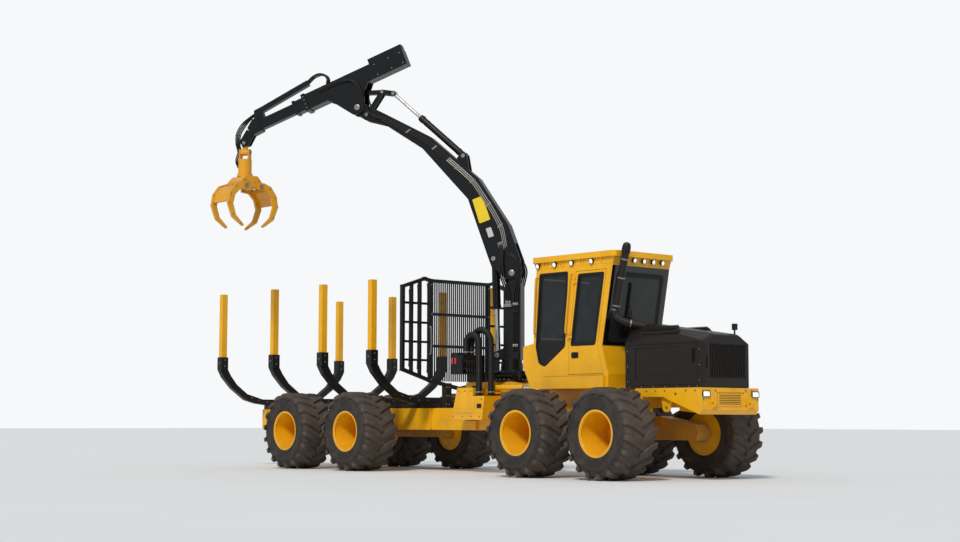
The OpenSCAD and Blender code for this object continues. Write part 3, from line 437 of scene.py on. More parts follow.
# ---- Cab glazing ----
# Tinted polycarbonate held in black rubber. A printed black border hides the bond, and the glass
# picks up a thin haze of dust.
glass, tree, shader = principled("tinted_glass")
haze = noise(tree, 5.0, 6)
feed(shader, {
    "Base Color": mix(ramp(haze, 0.45, 0.75, 0.0, 0.35), (0.014, 0.017, 0.017, 1), (0.040, 0.040, 0.036, 1)),
    "Roughness": ramp(haze, 0.35, 0.75, 0.03, 0.16), "Alpha": 0.80, "Specular IOR Level": 0.5})
dress(glass, "cab_glass", "door_glass")

seal_rubber, tree, shader = principled("black_rubber")
grain = noise(tree, 55.0, 6)
feed(shader, {
    "Base Color": mix(ramp(grain, 0.48, 0.78, 0.0, 0.4), (0.0065, 0.0065, 0.0070, 1), (0.050, 0.043, 0.037, 1)),
    "Roughness": ramp(grain, 0.3, 0.7, 0.42, 0.68), "Specular IOR Level": 0.3,
    "Normal": bump(grain, 0.25, 0.002)})


def in_rubber(name, built, body="front_machine", slot="black_paint", **more):
    return made(name, built, seal_rubber, body, slot, **more)


def spot(x, y, z):
    """A point given from the centre joint, in metres."""
    return MIDDLE + Vector((x, y, z))


def spots(*points, side=1):
    """Points given from the centre joint, mirrored to a side."""
    return [spot(x, side * y, z) for x, y, z in points]


def flank(side):
    """Places an outline of (x, z) at a depth across the machine, on one side."""
    return lambda u, v, depth: spot(u, side * depth, v)


def end_on(u, v, depth):
    """Places an outline of (y, z) at a distance ahead."""
    return spot(depth, u, v)


def rounded(outline, radius, steps=5):
    """The outline with each corner turned into an arc."""
    line = []
    for k, corner in enumerate(outline):
        corner = Vector(corner)
        back = (Vector(outline[k - 1]) - corner)
        ahead = (Vector(outline[(k + 1) % len(outline)]) - corner)
        cut = min(radius, back.length * 0.45, ahead.length * 0.45)
        start, end = corner + back.normalized() * cut, corner + ahead.normalized() * cut
        for step in range(steps + 1):
            t = step / steps
            line.append(start * (1 - t) ** 2 + corner * 2 * t * (1 - t) + end * t * t)
    return line


def box(low_u, low_v, high_u, high_v, radius=0.0):
    """The outline of a rectangle, with its corners rounded where a radius is given."""
    outline = [(low_u, low_v), (high_u, low_v), (high_u, high_v), (low_u, high_v)]
    return rounded(outline, radius) if radius else outline


def inset(outline, by):
    """The outline moved inward by a distance, corner by corner."""
    outline = [Vector(p) for p in outline]
    turn = sum(a.x * b.y - b.x * a.y for a, b in zip(outline, outline[1:] + outline[:1]))
    way = 1 if turn > 0 else -1
    line = []
    for k, corner in enumerate(outline):
        into = (corner - outline[k - 1]).normalized()
        away = (outline[(k + 1) % len(outline)] - corner).normalized()
        first, second = Vector((-into.y, into.x)) * way, Vector((-away.y, away.x)) * way
        line.append(corner + (first + second) * (by / max(0.25, 1 + first.dot(second))))
    return line


def frame_ring(built, outer, inner, low, high, where):
    """A flat ring between two outlines of equal count; where(u, v, depth) gives a point."""
    rows = [[built.verts.new(where(p.x, p.y, depth)) for p in line]
            for line, depth in ((outer, low), (outer, high), (inner, high), (inner, low))]
    count = len(outer)
    for a, b in zip(rows, rows[1:] + rows[:1]):
        for k in range(count):
            built.faces.new((a[k], a[(k + 1) % count], b[(k + 1) % count], b[k]))


def border(built, outline, outer, inner, low, high, where, steps=5):
    """A ring along an outline; outer and inner are each (distance inside it, corner radius)."""
    edges = [rounded(inset(outline, by), radius, steps) for by, radius in (outer, inner)]
    frame_ring(built, *edges, low, high, where)


def plate(built, outline, low, high, where):
    """A solid plate with that outline."""
    bottom, top = ([built.verts.new(where(p[0], p[1], depth)) for p in outline] for depth in (low, high))
    built.faces.new(bottom)
    built.faces.new(top)
    for k in range(len(outline)):
        n = (k + 1) % len(outline)
        built.faces.new((bottom[k], bottom[n], top[n], top[k]))


side_window = [(0.760, 1.960), (0.900, 1.900), (1.400, 2.230), (1.480, 3.500), (0.790, 3.500), (0.690, 2.240)]
door_window = [(1.560, 2.240), (2.130, 2.240), (2.350, 3.440), (1.750, 3.440)]
for name, outline, side, body in (
        ("side_r", side_window, -1, "front_machine"), ("door", door_window, -1, "cab_door"),
        ("side_l", side_window, 1, "front_machine"), ("front_l", door_window, 1, "front_machine")):
    seal = bmesh.new()
    border(seal, outline, (-0.016, 0.05), (0.020, 0.04), 0.7035, 0.690, flank(side))
    in_rubber("window_seal_" + name, seal, body, smooth=50, bevel=0.003)
    bond = bmesh.new()
    border(bond, outline, (0.003, 0.05), (0.062, 0.06), 0.6855, 0.6885, flank(side))
    in_rubber("glass_border_" + name, bond, body)

# Dark lower band of each rear side window
for name, side in SIDES.items():
    band = bmesh.new()
    plate(band, rounded([(0.745, 1.985), (0.905, 1.925), (1.375, 2.240), (1.380, 2.330), (0.715, 2.330),
                         (0.712, 2.250)], 0.03), 0.6860, 0.6890, flank(side))
    in_rubber("window_band_" + name, band)


def glazed(name, foot, head, way):
    """An end window of the cab with its seal and border, leaning from foot to head, each (x, z); gives
    back how points are placed on it."""
    foot, head = Vector(foot), Vector(head)
    rise = head - foot
    length = rise.length
    out = Vector((rise.y, -rise.x)).normalized() * way

    def on_pane(u, v, depth):
        point = foot + rise * (v / length) + out * depth
        return spot(point.x, u, point.y)

    outline = box(-0.575, 0.0, 0.575, length)
    pane, seal, bond = bmesh.new(), bmesh.new(), bmesh.new()
    plate(pane, rounded(outline, 0.07), -0.004, 0.004, on_pane)
    made(name, pane, glass, "front_machine", "glass")
    border(seal, outline, (-0.004, 0.08), (0.032, 0.06), -0.012, 0.014, on_pane)
    in_rubber(name + "_seal", seal, smooth=50, bevel=0.003)
    border(bond, outline, (0.02, 0.07), (0.085, 0.06), 0.0045, 0.0065, on_pane)
    in_rubber(name + "_border", bond)
    return on_pane


def on_wall(u, v, depth):
    """Places an outline on the cab's front wall, up from its lower bend."""
    return spot(2.300 + v * 0.1852 + depth * 0.983, u, 2.210 + v * 0.9827 - depth * 0.185)


# The windscreen's black surround is bonded over the front wall, from the lower bend to the roof. The
# wiper has a motor boss at the foot, an arm and a blade.
on_screen = glazed("windscreen", (2.315, 2.285), (2.530, 3.455), 1)
screen_black = painted("screen_surround", (0.0055, 0.0055, 0.0060, 1), 0.16, 0.4, 0.18, rounding=0.002,
                       chips=0.0, coat=0.5)
surround = bmesh.new()
frame_ring(surround, box(-0.694, 0.012, 0.694, 1.372, 0.02), box(-0.566, 0.085, 0.566, 1.257, 0.07),
           0.0002, 0.005, on_wall)
made("windscreen_surround", surround, screen_black, "front_machine", "black_paint", bevel=0.002)
wiper = bmesh.new()
turned(wiper, [(0.030, 0), (0.030, 0.020), (0.020, 0.030), (0.0005, 0.032)], on_screen(0.10, 0.03, 0.014),
       on_screen(0, 0, 1) - on_screen(0, 0, 0), 20)
plate(wiper, [(0.088, 0.02), (0.112, 0.02), (-0.205, 0.66), (-0.222, 0.65)], 0.030, 0.038, on_screen)
plate(wiper, box(-0.225, 0.20, -0.205, 1.02), 0.016, 0.040, on_screen)
in_rubber("wiper", wiper)
glazed("rear_window", (0.640, 2.405), (0.705, 3.415), -1)

# ---- Cab rails, door and sills ----
# Grab rails of bent steel tube on welded feet stand beside the windows, in the cab's yellow. The door
# has a black pull with its lock, and grip strips of rubber are stuck on the sills.


def tube(built, points, radius, sides=12, fine=6, ribs=0.0, pitch=0.02):
    """A round hose or pipe along a smooth line; ribs gives it rings of that height."""
    line = smoothed(points, fine)
    if ribs:
        total = sum((b - a).length for a, b in zip(line, line[1:]))
        count = int(total / pitch * 4)
        spaced, walked, k = [], 0.0, 0
        for step in range(count + 1):
            goal = total * step / count
            while k < len(line) - 2 and walked + (line[k + 1] - line[k]).length < goal:
                walked += (line[k + 1] - line[k]).length
                k += 1
            share = min(1.0, (goal - walked) / (line[k + 1] - line[k]).length)
            spaced.append(line[k].lerp(line[k + 1], share))
        line = spaced
    normal = (line[1] - line[0]).normalized().orthogonal().normalized()
    rings = []
    for k, point in enumerate(line):
        tangent = (line[min(k + 1, len(line) - 1)] - line[max(k - 1, 0)]).normalized()
        normal = (normal - tangent * normal.dot(tangent)).normalized()
        size = radius + (ribs if ribs and k % 4 in (1, 2) else 0.0)
        rings.append([built.verts.new(p) for p in circle(sides, size, point, normal, tangent.cross(normal))])
    for one, two in zip(rings, rings[1:]):
        for s in range(sides):
            n = (s + 1) % sides
            built.faces.new((one[s], one[n], two[n], two[s]))
    built.faces.new(rings[0])
    built.faces.new(rings[-1])


for name, side in SIDES.items():
    for at, foot, head in (("rear", (0.690, 2.470), (0.745, 3.440)), ("front", (1.475, 2.455), (1.600, 3.460))):
        (low_x, low_z), (high_x, high_z) = foot, head
        rail = bmesh.new()
        tube(rail, spots((low_x, 0.698, low_z), (low_x, 0.735, low_z), (low_x + 0.006, 0.762, low_z + 0.05),
                         ((low_x + high_x) / 2, 0.764, (low_z + high_z) / 2),
                         (high_x - 0.006, 0.762, high_z - 0.05), (high_x, 0.735, high_z),
                         (high_x, 0.698, high_z), side=side), 0.014)
        made("grab_rail_%s_%s" % (at, name), rail, upper_yellow, "front_machine", "yellow_paint")

handle = bmesh.new()
plate(handle, box(1.575, 2.020, 1.735, 2.120, 0.02), 0.698, 0.712, flank(-1))
plate(handle, box(1.590, 2.055, 1.700, 2.085, 0.012), 0.712, 0.736, flank(-1))
turned(handle, [(0.009, 0), (0.009, 0.006), (0.0005, 0.007)], spot(1.718, -0.712, 2.07), -Y, 16)
in_rubber("door_pull", handle, "cab_door", bevel=0.004)
sill = bmesh.new()
for side in (-1, 1):
    for k in range(9):
        plate(sill, box(0.93 + k * 0.16, 1.7125, 1.06 + k * 0.16, 1.7165), 0.704, 0.754, flank(side))
in_rubber("sill_grips", sill)

# ---- Inside the cab ----
# An air-sprung seat in worn black cloth with two armrests that carry the crane levers, a steering
# column, a dark dashboard and a plain display on a stalk.
seat_cloth, tree, shader = principled("woven_seat_cloth")
warp, weft = (node(tree, "TexWave", {"Vector": local(tree), "Scale": 90.0, "Distortion": 0.6},
                   bands_direction=way).outputs["Color"] for way in "XZ")
weave = times(warp, weft)
woven = mix(weave, (0.012, 0.012, 0.014, 1), (0.038, 0.038, 0.042, 1))
dust = ramp(noise(tree, 7.0, 5), 0.4, 0.75, 0.0, 0.6)
feed(shader, {"Base Color": mix(dust, woven, (0.075, 0.066, 0.056, 1)), "Roughness": 0.88,
              "Sheen Weight": 0.25, "Normal": bump(weave, 0.4, 0.002)})
CUSHION_GRID = 22
SEAM_WIDTH, SEAM_DEPTH = 0.035, 0.10


def cushion(name, low, high, channels, up):
    """A crowned pad; its sides pull in between the corners and sewn channels cross its face."""
    built = bmesh.new()
    low, high = Vector(low), Vector(high)
    middle, half = (low + high) / 2, (high - low) / 2
    across, deep = [k for k in range(3) if k != up]
    faces = []
    for sign in (1, -1):
        grid = []
        for i in range(CUSHION_GRID + 1):
            row = []
            for j in range(CUSHION_GRID + 1):
                u, v = -1 + 2 * i / CUSHION_GRID, -1 + 2 * j / CUSHION_GRID
                edge = max(0.0, (1 - u ** 6) * (1 - v ** 6))
                rise = 0.42 + 0.58 * edge ** 0.45
                seam = sum(math.exp(-((v - line) / SEAM_WIDTH) ** 2) * SEAM_DEPTH for line in channels)
                pull = 1 - 0.035 * (1 - u * u) if abs(v) > 0.999 else 1
                point = [0.0, 0.0, 0.0]
                point[across] = middle[across] + half[across] * u * (1 - 0.03 * (1 - v * v) * (abs(u) > 0.999))
                point[deep] = middle[deep] + half[deep] * v * pull
                point[up] = middle[up] + sign * half[up] * (rise - (seam if sign > 0 else 0.0) + edge * 0.12)
                row.append(built.verts.new(Vector(point) + MIDDLE))
            grid.append(row)
        for i in range(CUSHION_GRID):
            for j in range(CUSHION_GRID):
                built.faces.new((grid[i][j], grid[i + 1][j], grid[i + 1][j + 1], grid[i][j + 1]))
        faces.append(grid)
    upper, lower = faces
    there, back = range(CUSHION_GRID), range(CUSHION_GRID, 0, -1)
    rim = [(i, 0) for i in there] + [(CUSHION_GRID, j) for j in there] \
        + [(i, CUSHION_GRID) for i in back] + [(0, j) for j in back]
    for (i, j), (m, n) in zip(rim, rim[1:] + rim[:1]):
        built.faces.new((upper[i][j], upper[m][n], lower[m][n], lower[i][j]))
    piece = made(name, built, seat_cloth, "front_machine", "seat_black", smooth=60)
    rounder = piece.modifiers.new("padding", "SUBSURF")
    rounder.levels = rounder.render_levels = 1
    return piece


base = cushion("seat_base", (1.16, -0.25, 1.965), (1.690, 0.25, 2.075), (-0.45, 0.0, 0.45), 2)
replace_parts(base, "seat")
cushion("seat_back", (1.090, -0.24, 2.095), (1.195, 0.24, 2.640), (-0.5, -0.1, 0.3, 0.7), 0)
cushion("seat_headrest", (1.095, -0.14, 2.655), (1.185, 0.14, 2.795), (), 0)
carrier = bmesh.new()
plate(carrier, box(1.20, -0.20, 1.66, 0.20, 0.04), 1.935, 1.962, spot)
tube(carrier, spots((1.42, 0, 1.605), (1.42, 0, 1.70), (1.42, 0, 1.80), (1.42, 0, 1.935)), 0.085,
     sides=28, ribs=0.012, pitch=0.05)
plate(carrier, box(1.28, -0.16, 1.56, 0.16, 0.03), 1.600, 1.625, spot)
for side in (-1, 1):
    plate(carrier, rounded([(1.17, 2.235), (1.62, 2.255), (1.64, 2.300), (1.60, 2.325), (1.17, 2.300)], 0.02),
          0.270, 0.350, flank(side))
    plate(carrier, [(1.20, 2.02), (1.25, 2.02), (1.27, 2.24), (1.20, 2.24)], 0.285, 0.310, flank(side))
    tube(carrier, spots((1.585, 0.31, 2.31), (1.590, 0.31, 2.36), (1.575, 0.31, 2.42), side=side), 0.013)
    turned(carrier, [(0.012, 0), (0.024, 0.018), (0.026, 0.050), (0.018, 0.075), (0.0005, 0.082)],
           spot(1.577, side * 0.31, 2.40), (-0.1, 0, 1), 18)
in_rubber("seat_carrier", carrier, slot="seat_black", bevel=0.004)

dashboard = bmesh.new()
plate(dashboard, [(2.05, 1.605), (2.24, 1.605), (2.255, 1.78), (2.215, 2.10), (2.225, 2.205), (2.12, 2.225),
                  (2.02, 2.130), (2.05, 1.95)], -0.50, 0.50, flank(1))
tube(dashboard, spots((2.06, 0, 1.65), (1.98, 0, 1.90), (1.90, 0, 2.14)), 0.028, sides=16)
WHEEL_AT, WHEEL_OUT, WHEEL_TILT = spot(1.885, 0, 2.175), 0.155, Vector((0.86, 0, 0.42))
tube(dashboard, [WHEEL_AT + WHEEL_TILT * WHEEL_OUT * math.cos(a) + Y * 0.185 * math.sin(a)
                 for a in (2 * math.pi * k / 20 for k in range(21))], 0.013, sides=10, fine=2)
for a in (0.5, 2.6, 4.7):
    tube(dashboard, spots((1.897, 0, 2.155), (1.885 + 0.133 * math.cos(a), 0.18 * math.sin(a),
                                              2.175 + 0.065 * math.cos(a))), 0.009, sides=8, fine=1)
tube(dashboard, spots((2.10, -0.36, 2.18), (2.08, -0.37, 2.36), (2.07, -0.37, 2.44)), 0.012, sides=10)
plate(dashboard, box(-0.49, 2.42, -0.25, 2.60, 0.015), 2.045, 2.080, end_on)
plate(dashboard, [(0.78, 1.605), (1.05, 1.605), (1.05, 1.95), (0.78, 2.05)], 0.38, 0.62, flank(1))
in_rubber("dashboard", dashboard, bevel=0.006)

# ---- Work lamps ----
# Round work lamps bolted under the visor: a finned black housing on a bracket, a bright bowl, and
# a clear lens with a ring of small emitters, lit white. Headlamps sit in boxes on the bumper.
LAMP_R, LAMP_Z = 0.046, 3.652
BUMPER_FACE_X = 4.4905
lamp_light, tree, shader = principled("lit_lens")
cells = node(tree, "TexVoronoi", {"Vector": local(tree), "Scale": 42.0})
shine = ramp(cells.outputs["Distance"], 0.25, 0.75, 1.0, 0.35)
feed(shader, {"Base Color": mix(shine, (0.55, 0.60, 0.66, 1), (1.0, 0.99, 0.96, 1)),
              "Emission Color": mix(shine, (0.30, 0.34, 0.40, 1), (1.0, 0.97, 0.90, 1)),
              "Emission Strength": 0.45, "Roughness": 0.08, "Coat Weight": 1.0})


def work_lamp(built_case, built_lens, at, out):
    """One lamp: its case goes to one mesh and its lens to another."""
    case = ((0.55, -0.012), (0.62, 0.0), (0.86, 0.004), (0.86, 0.010), (0.74, 0.011), (0.74, 0.016),
            (0.92, 0.017), (0.92, 0.023), (0.80, 0.024), (0.80, 0.028), (1, 0.030), (1.02, 0.044),
            (0.96, 0.048), (0.88, 0.046), (0.86, 0.036))
    lens = ((0.88, 0.036), (0.87, 0.042), (0.55, 0.0465))
    turned(built_case, [(0.0005, -0.012)] + [(LAMP_R * share, along) for share, along in case], at, out, 28)
    turned(built_lens, [(LAMP_R * share, along) for share, along in lens] + [(0.0005, 0.048)], at, out, 28)
    nut(built_case, at + UP * (LAMP_R + 0.003), UP, 0.009, 0.009)


cases, lenses = bmesh.new(), bmesh.new()
for side in (-1, 1):
    for x in (0.760, 1.180, 1.600, 2.080):
        work_lamp(cases, lenses, spot(x, side * 0.697, LAMP_Z), (0, side, -0.18))
for y in (-0.460, -0.230, 0.0, 0.230, 0.460):
    work_lamp(cases, lenses, spot(2.588, y, LAMP_Z), (1, 0, -0.15))
in_rubber("work_lamp_cases", cases, smooth=30)
lens_piece = made("work_lamp_lenses", lenses, lamp_light, "front_machine", "lamp_white", smooth=40)
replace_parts(lens_piece, "lamps")

for name, side in SIDES.items():
    lamp_case, lamp_lens = bmesh.new(), bmesh.new()
    outline = box(side * 0.600 - 0.078, 1.345, side * 0.600 + 0.078, 1.425)
    border(lamp_case, outline, (-0.010, 0.018), (0.0, 0.012), BUMPER_FACE_X, 4.512, end_on)
    plate(lamp_lens, rounded(outline, 0.012), BUMPER_FACE_X, 4.506, end_on)
    in_rubber("headlamp_case_" + name, lamp_case, bevel=0.003)
    made("headlamp_lens_" + name, lamp_lens, lamp_light, "front_machine", "lamp_white")

# ---- Hood fittings ----
# The hood is a welded box of thin plate. Its nose door carries a wire screen in a pressed frame; louvres,
# pressed side panels, catches and a short mast are welded or held by small screws.
SCREEN_WIRE = 0.0012
wire_steel = painted("wire_screen", (0.020, 0.019, 0.018, 1), 0.45, 1.7, 0.3, rounding=0.001, chips=0.0,
                     coat=0.1)
screen = bmesh.new()
for z in (1.650 + k * 0.0125 for k in range(44)):
    plate(screen, box(-0.438, z - SCREEN_WIRE, 0.438, z + SCREEN_WIRE), 4.4055, 4.4080, end_on)
for y in (-0.4375 + k * 0.01268 for k in range(70)):
    plate(screen, box(y - SCREEN_WIRE, 1.645, y + SCREEN_WIRE, 2.188), 4.4080, 4.4105, end_on)
made("nose_screen", screen, wire_steel, "nose_door", "hood_brown")
lip = bmesh.new()
border(lip, box(-0.440, 1.640, 0.440, 2.190), (-0.012, 0.06), (0.016, 0.05), 4.4125, 4.422, end_on, steps=8)
made("nose_screen_frame", lip, hood_brown, "nose_door", "hood_brown", bevel=0.003)
pull = bmesh.new()
tube(pull, spots((4.412, -0.492, 1.80), (4.440, -0.492, 1.81), (4.446, -0.492, 1.90), (4.440, -0.492, 1.99),
                 (4.412, -0.492, 2.00)), 0.010)
turned(pull, [(0.024, 0), (0.024, 0.008), (0.014, 0.012), (0.014, 0.020), (0.0005, 0.022)],
       spot(4.414, -0.492, 2.07), X, 20)
in_rubber("nose_door_pull", pull, "nose_door")


def on_slope(side):
    """Places an outline of (x, z) on the hood's sloping upper corner, at a distance down the slope."""
    return lambda u, v, down: spot(u, side * (0.347 + down * 1.06), v + 0.047 - down * 0.62)


HOOD_FACE_Y = 0.5452
louvres, screws, panels = bmesh.new(), bmesh.new(), bmesh.new()
for side in (-1, 1):
    for x in (3.030 + k * 0.049 for k in range(14)):
        plate(louvres, [(x, 2.4565), (x + 0.030, 2.4565), (x + 0.034, 2.470), (x + 0.010, 2.474)],
              0, 0.094, on_slope(side))
    places = [(x, 1.512) for x in (2.79, 3.05, 3.31, 3.57, 3.83, 4.09, 4.26)]
    places += [(x, z) for x in (2.742, 4.315) for z in (1.60, 1.85, 2.10)]
    nuts(screws, [spot(x, side * HOOD_FACE_Y, z) for x, z in places], Y * side, 0.0085, 0.008)
    plate(panels, box(4.178, 1.900, 4.190, 2.100, 0.004), 0.570, 0.585, flank(side))
    for x, z in ((2.80, 1.90), (4.24, 1.70)):
        turned(panels, [(0.020, 0), (0.020, 0.006), (0.012, 0.010), (0.0005, 0.011)],
               spot(x, side * 0.545, z), Y * side, 20)
    plate(panels, box(3.06, 1.700, 3.78, 2.020, 0.05), 0.5352, 0.5372, flank(side))
in_rubber("hood_louvres", louvres, slot="hood_brown", bevel=0.002)
in_steel("hood_screws", screws, "front_machine", smooth=25)
made("hood_side_fittings", panels, hood_brown, "front_machine", "hood_brown", bevel=0.002)

mast = bmesh.new()
turned(mast, [(0.030, 0), (0.030, 0.008), (0.012, 0.014), (0.012, 0.150), (0.0005, 0.152)],
       spot(4.20, 0.46, 2.300), UP, 20)
plate(mast, box(0.415, 2.440, 0.505, 2.545, 0.015), 4.175, 4.225, end_on)
tube(mast, spots((4.20, 0.425, 2.44), (4.235, 0.405, 2.42), (4.225, 0.40, 2.34), (4.19, 0.42, 2.30)),
     0.006, sides=8)
in_rubber("nose_mast", mast, bevel=0.004)

# ---- Bumper fittings ----
# Bolts of the front frame and bumper, in plated steel. A raised yellow panel is welded to the bumper's middle,
# with six thin black strips on it that are painted shade of louvre slots.
M16, M20 = (0.012, 0.012), (0.013, 0.012)
bolts = bmesh.new()
for side in (-1, 1):
    nuts(bolts, [spot(x, side * 0.6905, 1.440) for x in (3.10, 3.30, 3.50, 3.70, 4.15, 4.35)], Y * side, *M20)
    nuts(bolts, [spot(BUMPER_FACE_X, side * y, z)
                 for y, z in ((0.37, 1.44), (0.37, 1.20), (0.52, 1.44), (0.66, 1.30))], X, *M20)
in_steel("bumper_bolts", bolts, "front_machine", smooth=25)
panel, louvre_shade_strips = bmesh.new(), bmesh.new()
plate(panel, box(-0.30, 1.190, 0.30, 1.395, 0.03), 4.4725, 4.478, end_on)
made("bumper_panel", panel, frame_yellow, "front_machine", "yellow_paint", bevel=0.002)
# Six thin black strips on the panel: painted shade of the louvre slots, not openings
for z in (1.222 + row * 0.028 for row in range(6)):
    plate(louvre_shade_strips, box(-0.265, z, 0.265, z + 0.011, 0.005), 4.4765, 4.4795, end_on)
in_rubber("bumper_louvre_shade_strips", louvre_shade_strips)

# ---- Air intake ----
# A bent steel pipe from the hood's rear corner up past the windscreen, with a domed cap. Clamps hold its
# joins, and a rubber collar sits below the cap.
PIPE_BEND, PIPE_TOP = (2.520, -0.610, 2.760), (2.760, -0.570, 3.860)
pipe_way = spot(*PIPE_TOP) - spot(*PIPE_BEND)
pipe, clamps, collar = bmesh.new(), bmesh.new(), bmesh.new()
tube(pipe, spots((2.945, -0.262, 2.517), (2.800, -0.400, 2.560), (2.680, -0.512, 2.598), (2.590, -0.584, 2.655),
                 (2.541, -0.606, 2.750), (2.5505, -0.6049, 2.900), (2.638, -0.5904, 3.300), PIPE_TOP),
     0.065, sides=36, fine=8)
turned(pipe, [(0.0640, -0.004), (0.0680, 0.004), (0.0670, 0.022), (0.0560, 0.046), (0.0330, 0.062),
              (0.0005, 0.068)], spot(*PIPE_TOP), pipe_way, 36)
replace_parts(made("intake_pipe", pipe, hood_brown, "front_machine", "black_paint", smooth=40), "intake")
for low, high, shares in (((2.910, -0.295, 2.527), (2.600, -0.590, 2.620), (0.55,)),
                          (PIPE_BEND, PIPE_TOP, (0.04, 0.10, 0.52, 0.80))):
    low, high = spot(*low), spot(*high)
    axis = (high - low).normalized()
    for at in (low.lerp(high, share) for share in shares):
        turned(clamps, [(0.066, -0.011), (0.0695, -0.010), (0.0695, 0.010), (0.066, 0.011)], at, axis, 32)
        nut(clamps, at + axis.cross(UP).normalized() * 0.074, axis, 0.008, 0.016)
in_steel("intake_clamps", clamps, "front_machine", smooth=30)
turned(collar, [(0.0705, -0.115), (0.0745, -0.105), (0.0745, -0.030), (0.070, 0.0), (0.060, 0.030)],
       spot(*PIPE_TOP), pipe_way, 32)
in_rubber("intake_collar", collar, smooth=30)

# ---- Rear frame fittings ----
# Steel lids with hinge straps are bolted to the two yellow side boxes. Each box has a black plate beside
# its lid and a filler cap on top.
BOX_FACE_Y = 0.8605
side_bolts, lids, caps = bmesh.new(), bmesh.new(), bmesh.new()
for side in (-1, 1):
    nuts(side_bolts, [spot(x, side * BOX_FACE_Y, z) for x, z in (
        (-1.36, 1.03), (-1.10, 1.03), (-0.85, 1.03), (-0.64, 1.03), (-1.22, 1.49), (-1.03, 1.49), (-0.87, 1.49),
        (-0.58, 1.34))], Y * side, 0.012, 0.011)
    plate(lids, rounded([(-1.28, 1.09), (-0.78, 1.09), (-0.74, 1.36), (-0.92, 1.37), (-0.92, 1.46),
                         (-1.20, 1.46)], 0.03), BOX_FACE_Y, 0.866, flank(side))
    for x in (-1.18, -0.95):
        plate(lids, box(x - 0.02, 1.40, x + 0.02, 1.49, 0.01), 0.866, 0.874, flank(side))
    plate(caps, box(-0.70, 1.18, -0.58, 1.26, 0.01), BOX_FACE_Y, 0.869, flank(side))
    turned(caps, [(0.045, 0), (0.045, 0.030), (0.038, 0.036), (0.0005, 0.037)],
           spot(-1.05, side * 0.62, 1.5502), UP, 28)
in_steel("side_box_bolts", side_bolts, "rear_machine", smooth=25)
made("side_box_lids", lids, frame_yellow, "rear_machine", "yellow_paint", bevel=0.003)
in_rubber("side_box_fittings", caps, "rear_machine", bevel=0.003)

# ---- Bunk and gate ----
# Bolsters and sockets are folded plate with bolts at the foot. The gate is welded tube; its
# black pipes and a pale handle bar are clamped to it.
BOLSTERS_BACK = (2.95, 4.53, 6.20, 8.11)
GATE_X = -2.160
bunk_bolts = bmesh.new()
for x in BOLSTERS_BACK:
    for side in (-1, 1):
        for way in (-1, 1):
            nuts(bunk_bolts, [spot(-x + way * 0.0825, side * 1.518, z) for z in (2.090, 2.215)], X * way, *M16)
            nuts(bunk_bolts, [spot(-x + way * 0.0605, side * y, 1.345 + max(0, y - 0.5) * 0.25)
                              for y in (0.20, 0.42, 0.64, 0.82)], X * way, *M16)
        nut(bunk_bolts, spot(-x, side * 1.6002, 2.150), Y * side, 0.014, 0.013)
in_steel("bunk_bolts", bunk_bolts, "rear_machine", smooth=25)

gate_pipes, gate_nuts, handle_bar = bmesh.new(), bmesh.new(), bmesh.new()
for side in (-1, 1):
    for y, low, high in ((1.285, 1.95, 3.38), (1.085, 1.90, 3.48), (0.850, 1.84, 3.52)):
        bends = ((0.035, low), (0.045, low + 0.25), (0.045, (low + high) / 2), (0.045, high - 0.2),
                 (0.035, high))
        tube(gate_pipes, [spot(GATE_X + out, side * y, z) for out, z in bends], 0.017)
        for z in (2.08, 2.42, 2.78, 3.14):
            plate(gate_pipes, box(y - 0.030, z - 0.018, y + 0.030, z + 0.018, 0.006), GATE_X + 0.020,
                  GATE_X + 0.068, lambda u, v, depth: spot(depth, side * u, v))
    nuts(gate_nuts, [spot(GATE_X + 0.0002, side * 0.72, z) for z in (1.72, 2.35, 2.95, 3.50)], X, *M20)
    nuts(gate_nuts, [spot(-2.1397, side * y, z) for y in (0.30, 0.36) for z in (1.26, 1.42, 1.58)], X, *M20)
made("gate_pipes", gate_pipes, bunk_black, "rear_machine", "black_paint", bevel=0.002)
tube(handle_bar, [spot(GATE_X + out, -0.80, z) for out, z in (
    (0.02, 2.20), (0.075, 2.21), (0.085, 2.45), (0.075, 2.69), (0.02, 2.70))], 0.013)
in_steel("gate_handle_bar", handle_bar, "rear_machine")
in_steel("gate_bolts", gate_nuts, "rear_machine", smooth=25)

# ---- Valve bank and ducts ----
# Spool valves in a black box beside the crane, with hose ends on its face, a screwed cover and small
# red lamps. Two large corrugated ducts arch over from it to the side box, held by steel bands.
DUCT_X = -1.110
ducts, bands = bmesh.new(), bmesh.new()
for bend, y in ((0.270, -0.640), (0.180, -0.770)):
    top = spot(DUCT_X + bend, y, 2.330)
    route = [top + Vector((-bend, 0, drop)) for drop in (-0.180, -0.090, 0)]
    route += [top + Vector((-math.cos(a), 0, math.sin(a))) * bend
              for a in (math.pi * k / 8 for k in range(1, 8))]
    route += [top + Vector((bend, 0, -0.1 * k)) for k in range(10)]
    tube(ducts, route, 0.0535, sides=24, fine=5, ribs=0.0065, pitch=0.026)
    for at in (spot(DUCT_X, y, 2.20), spot(DUCT_X + 2 * bend, y, 1.47)):
        turned(bands, [(0.060, -0.012), (0.0635, -0.011), (0.0635, 0.011), (0.060, 0.012)], at, UP, 32)
        nut(bands, at + Vector((0.068, 0, -0.008)), UP, 0.009, 0.018)
in_rubber("ribbed_ducts", ducts, "rear_machine", smooth=60)
in_steel("duct_bands", bands, "rear_machine", smooth=30)
spools = bmesh.new()
for z in (1.90, 2.04):
    for y in (-0.865 + k * 0.060 for k in range(7)):
        turned(spools, [(0.019, 0), (0.019, 0.014), (0.015, 0.018), (0.015, 0.034), (0.0005, 0.035)],
               spot(-1.0498, y, z), X, 6)
        tube(spools, spots((-1.03, y, z), (-0.99, y, z - 0.01), (-0.965, y - 0.004, z - 0.07),
                           (-0.960, y + 0.006, 1.74), (-0.965, y + 0.010, 1.675)), 0.011, sides=10)
in_rubber("valve_hoses", spools, "rear_machine", smooth=40)
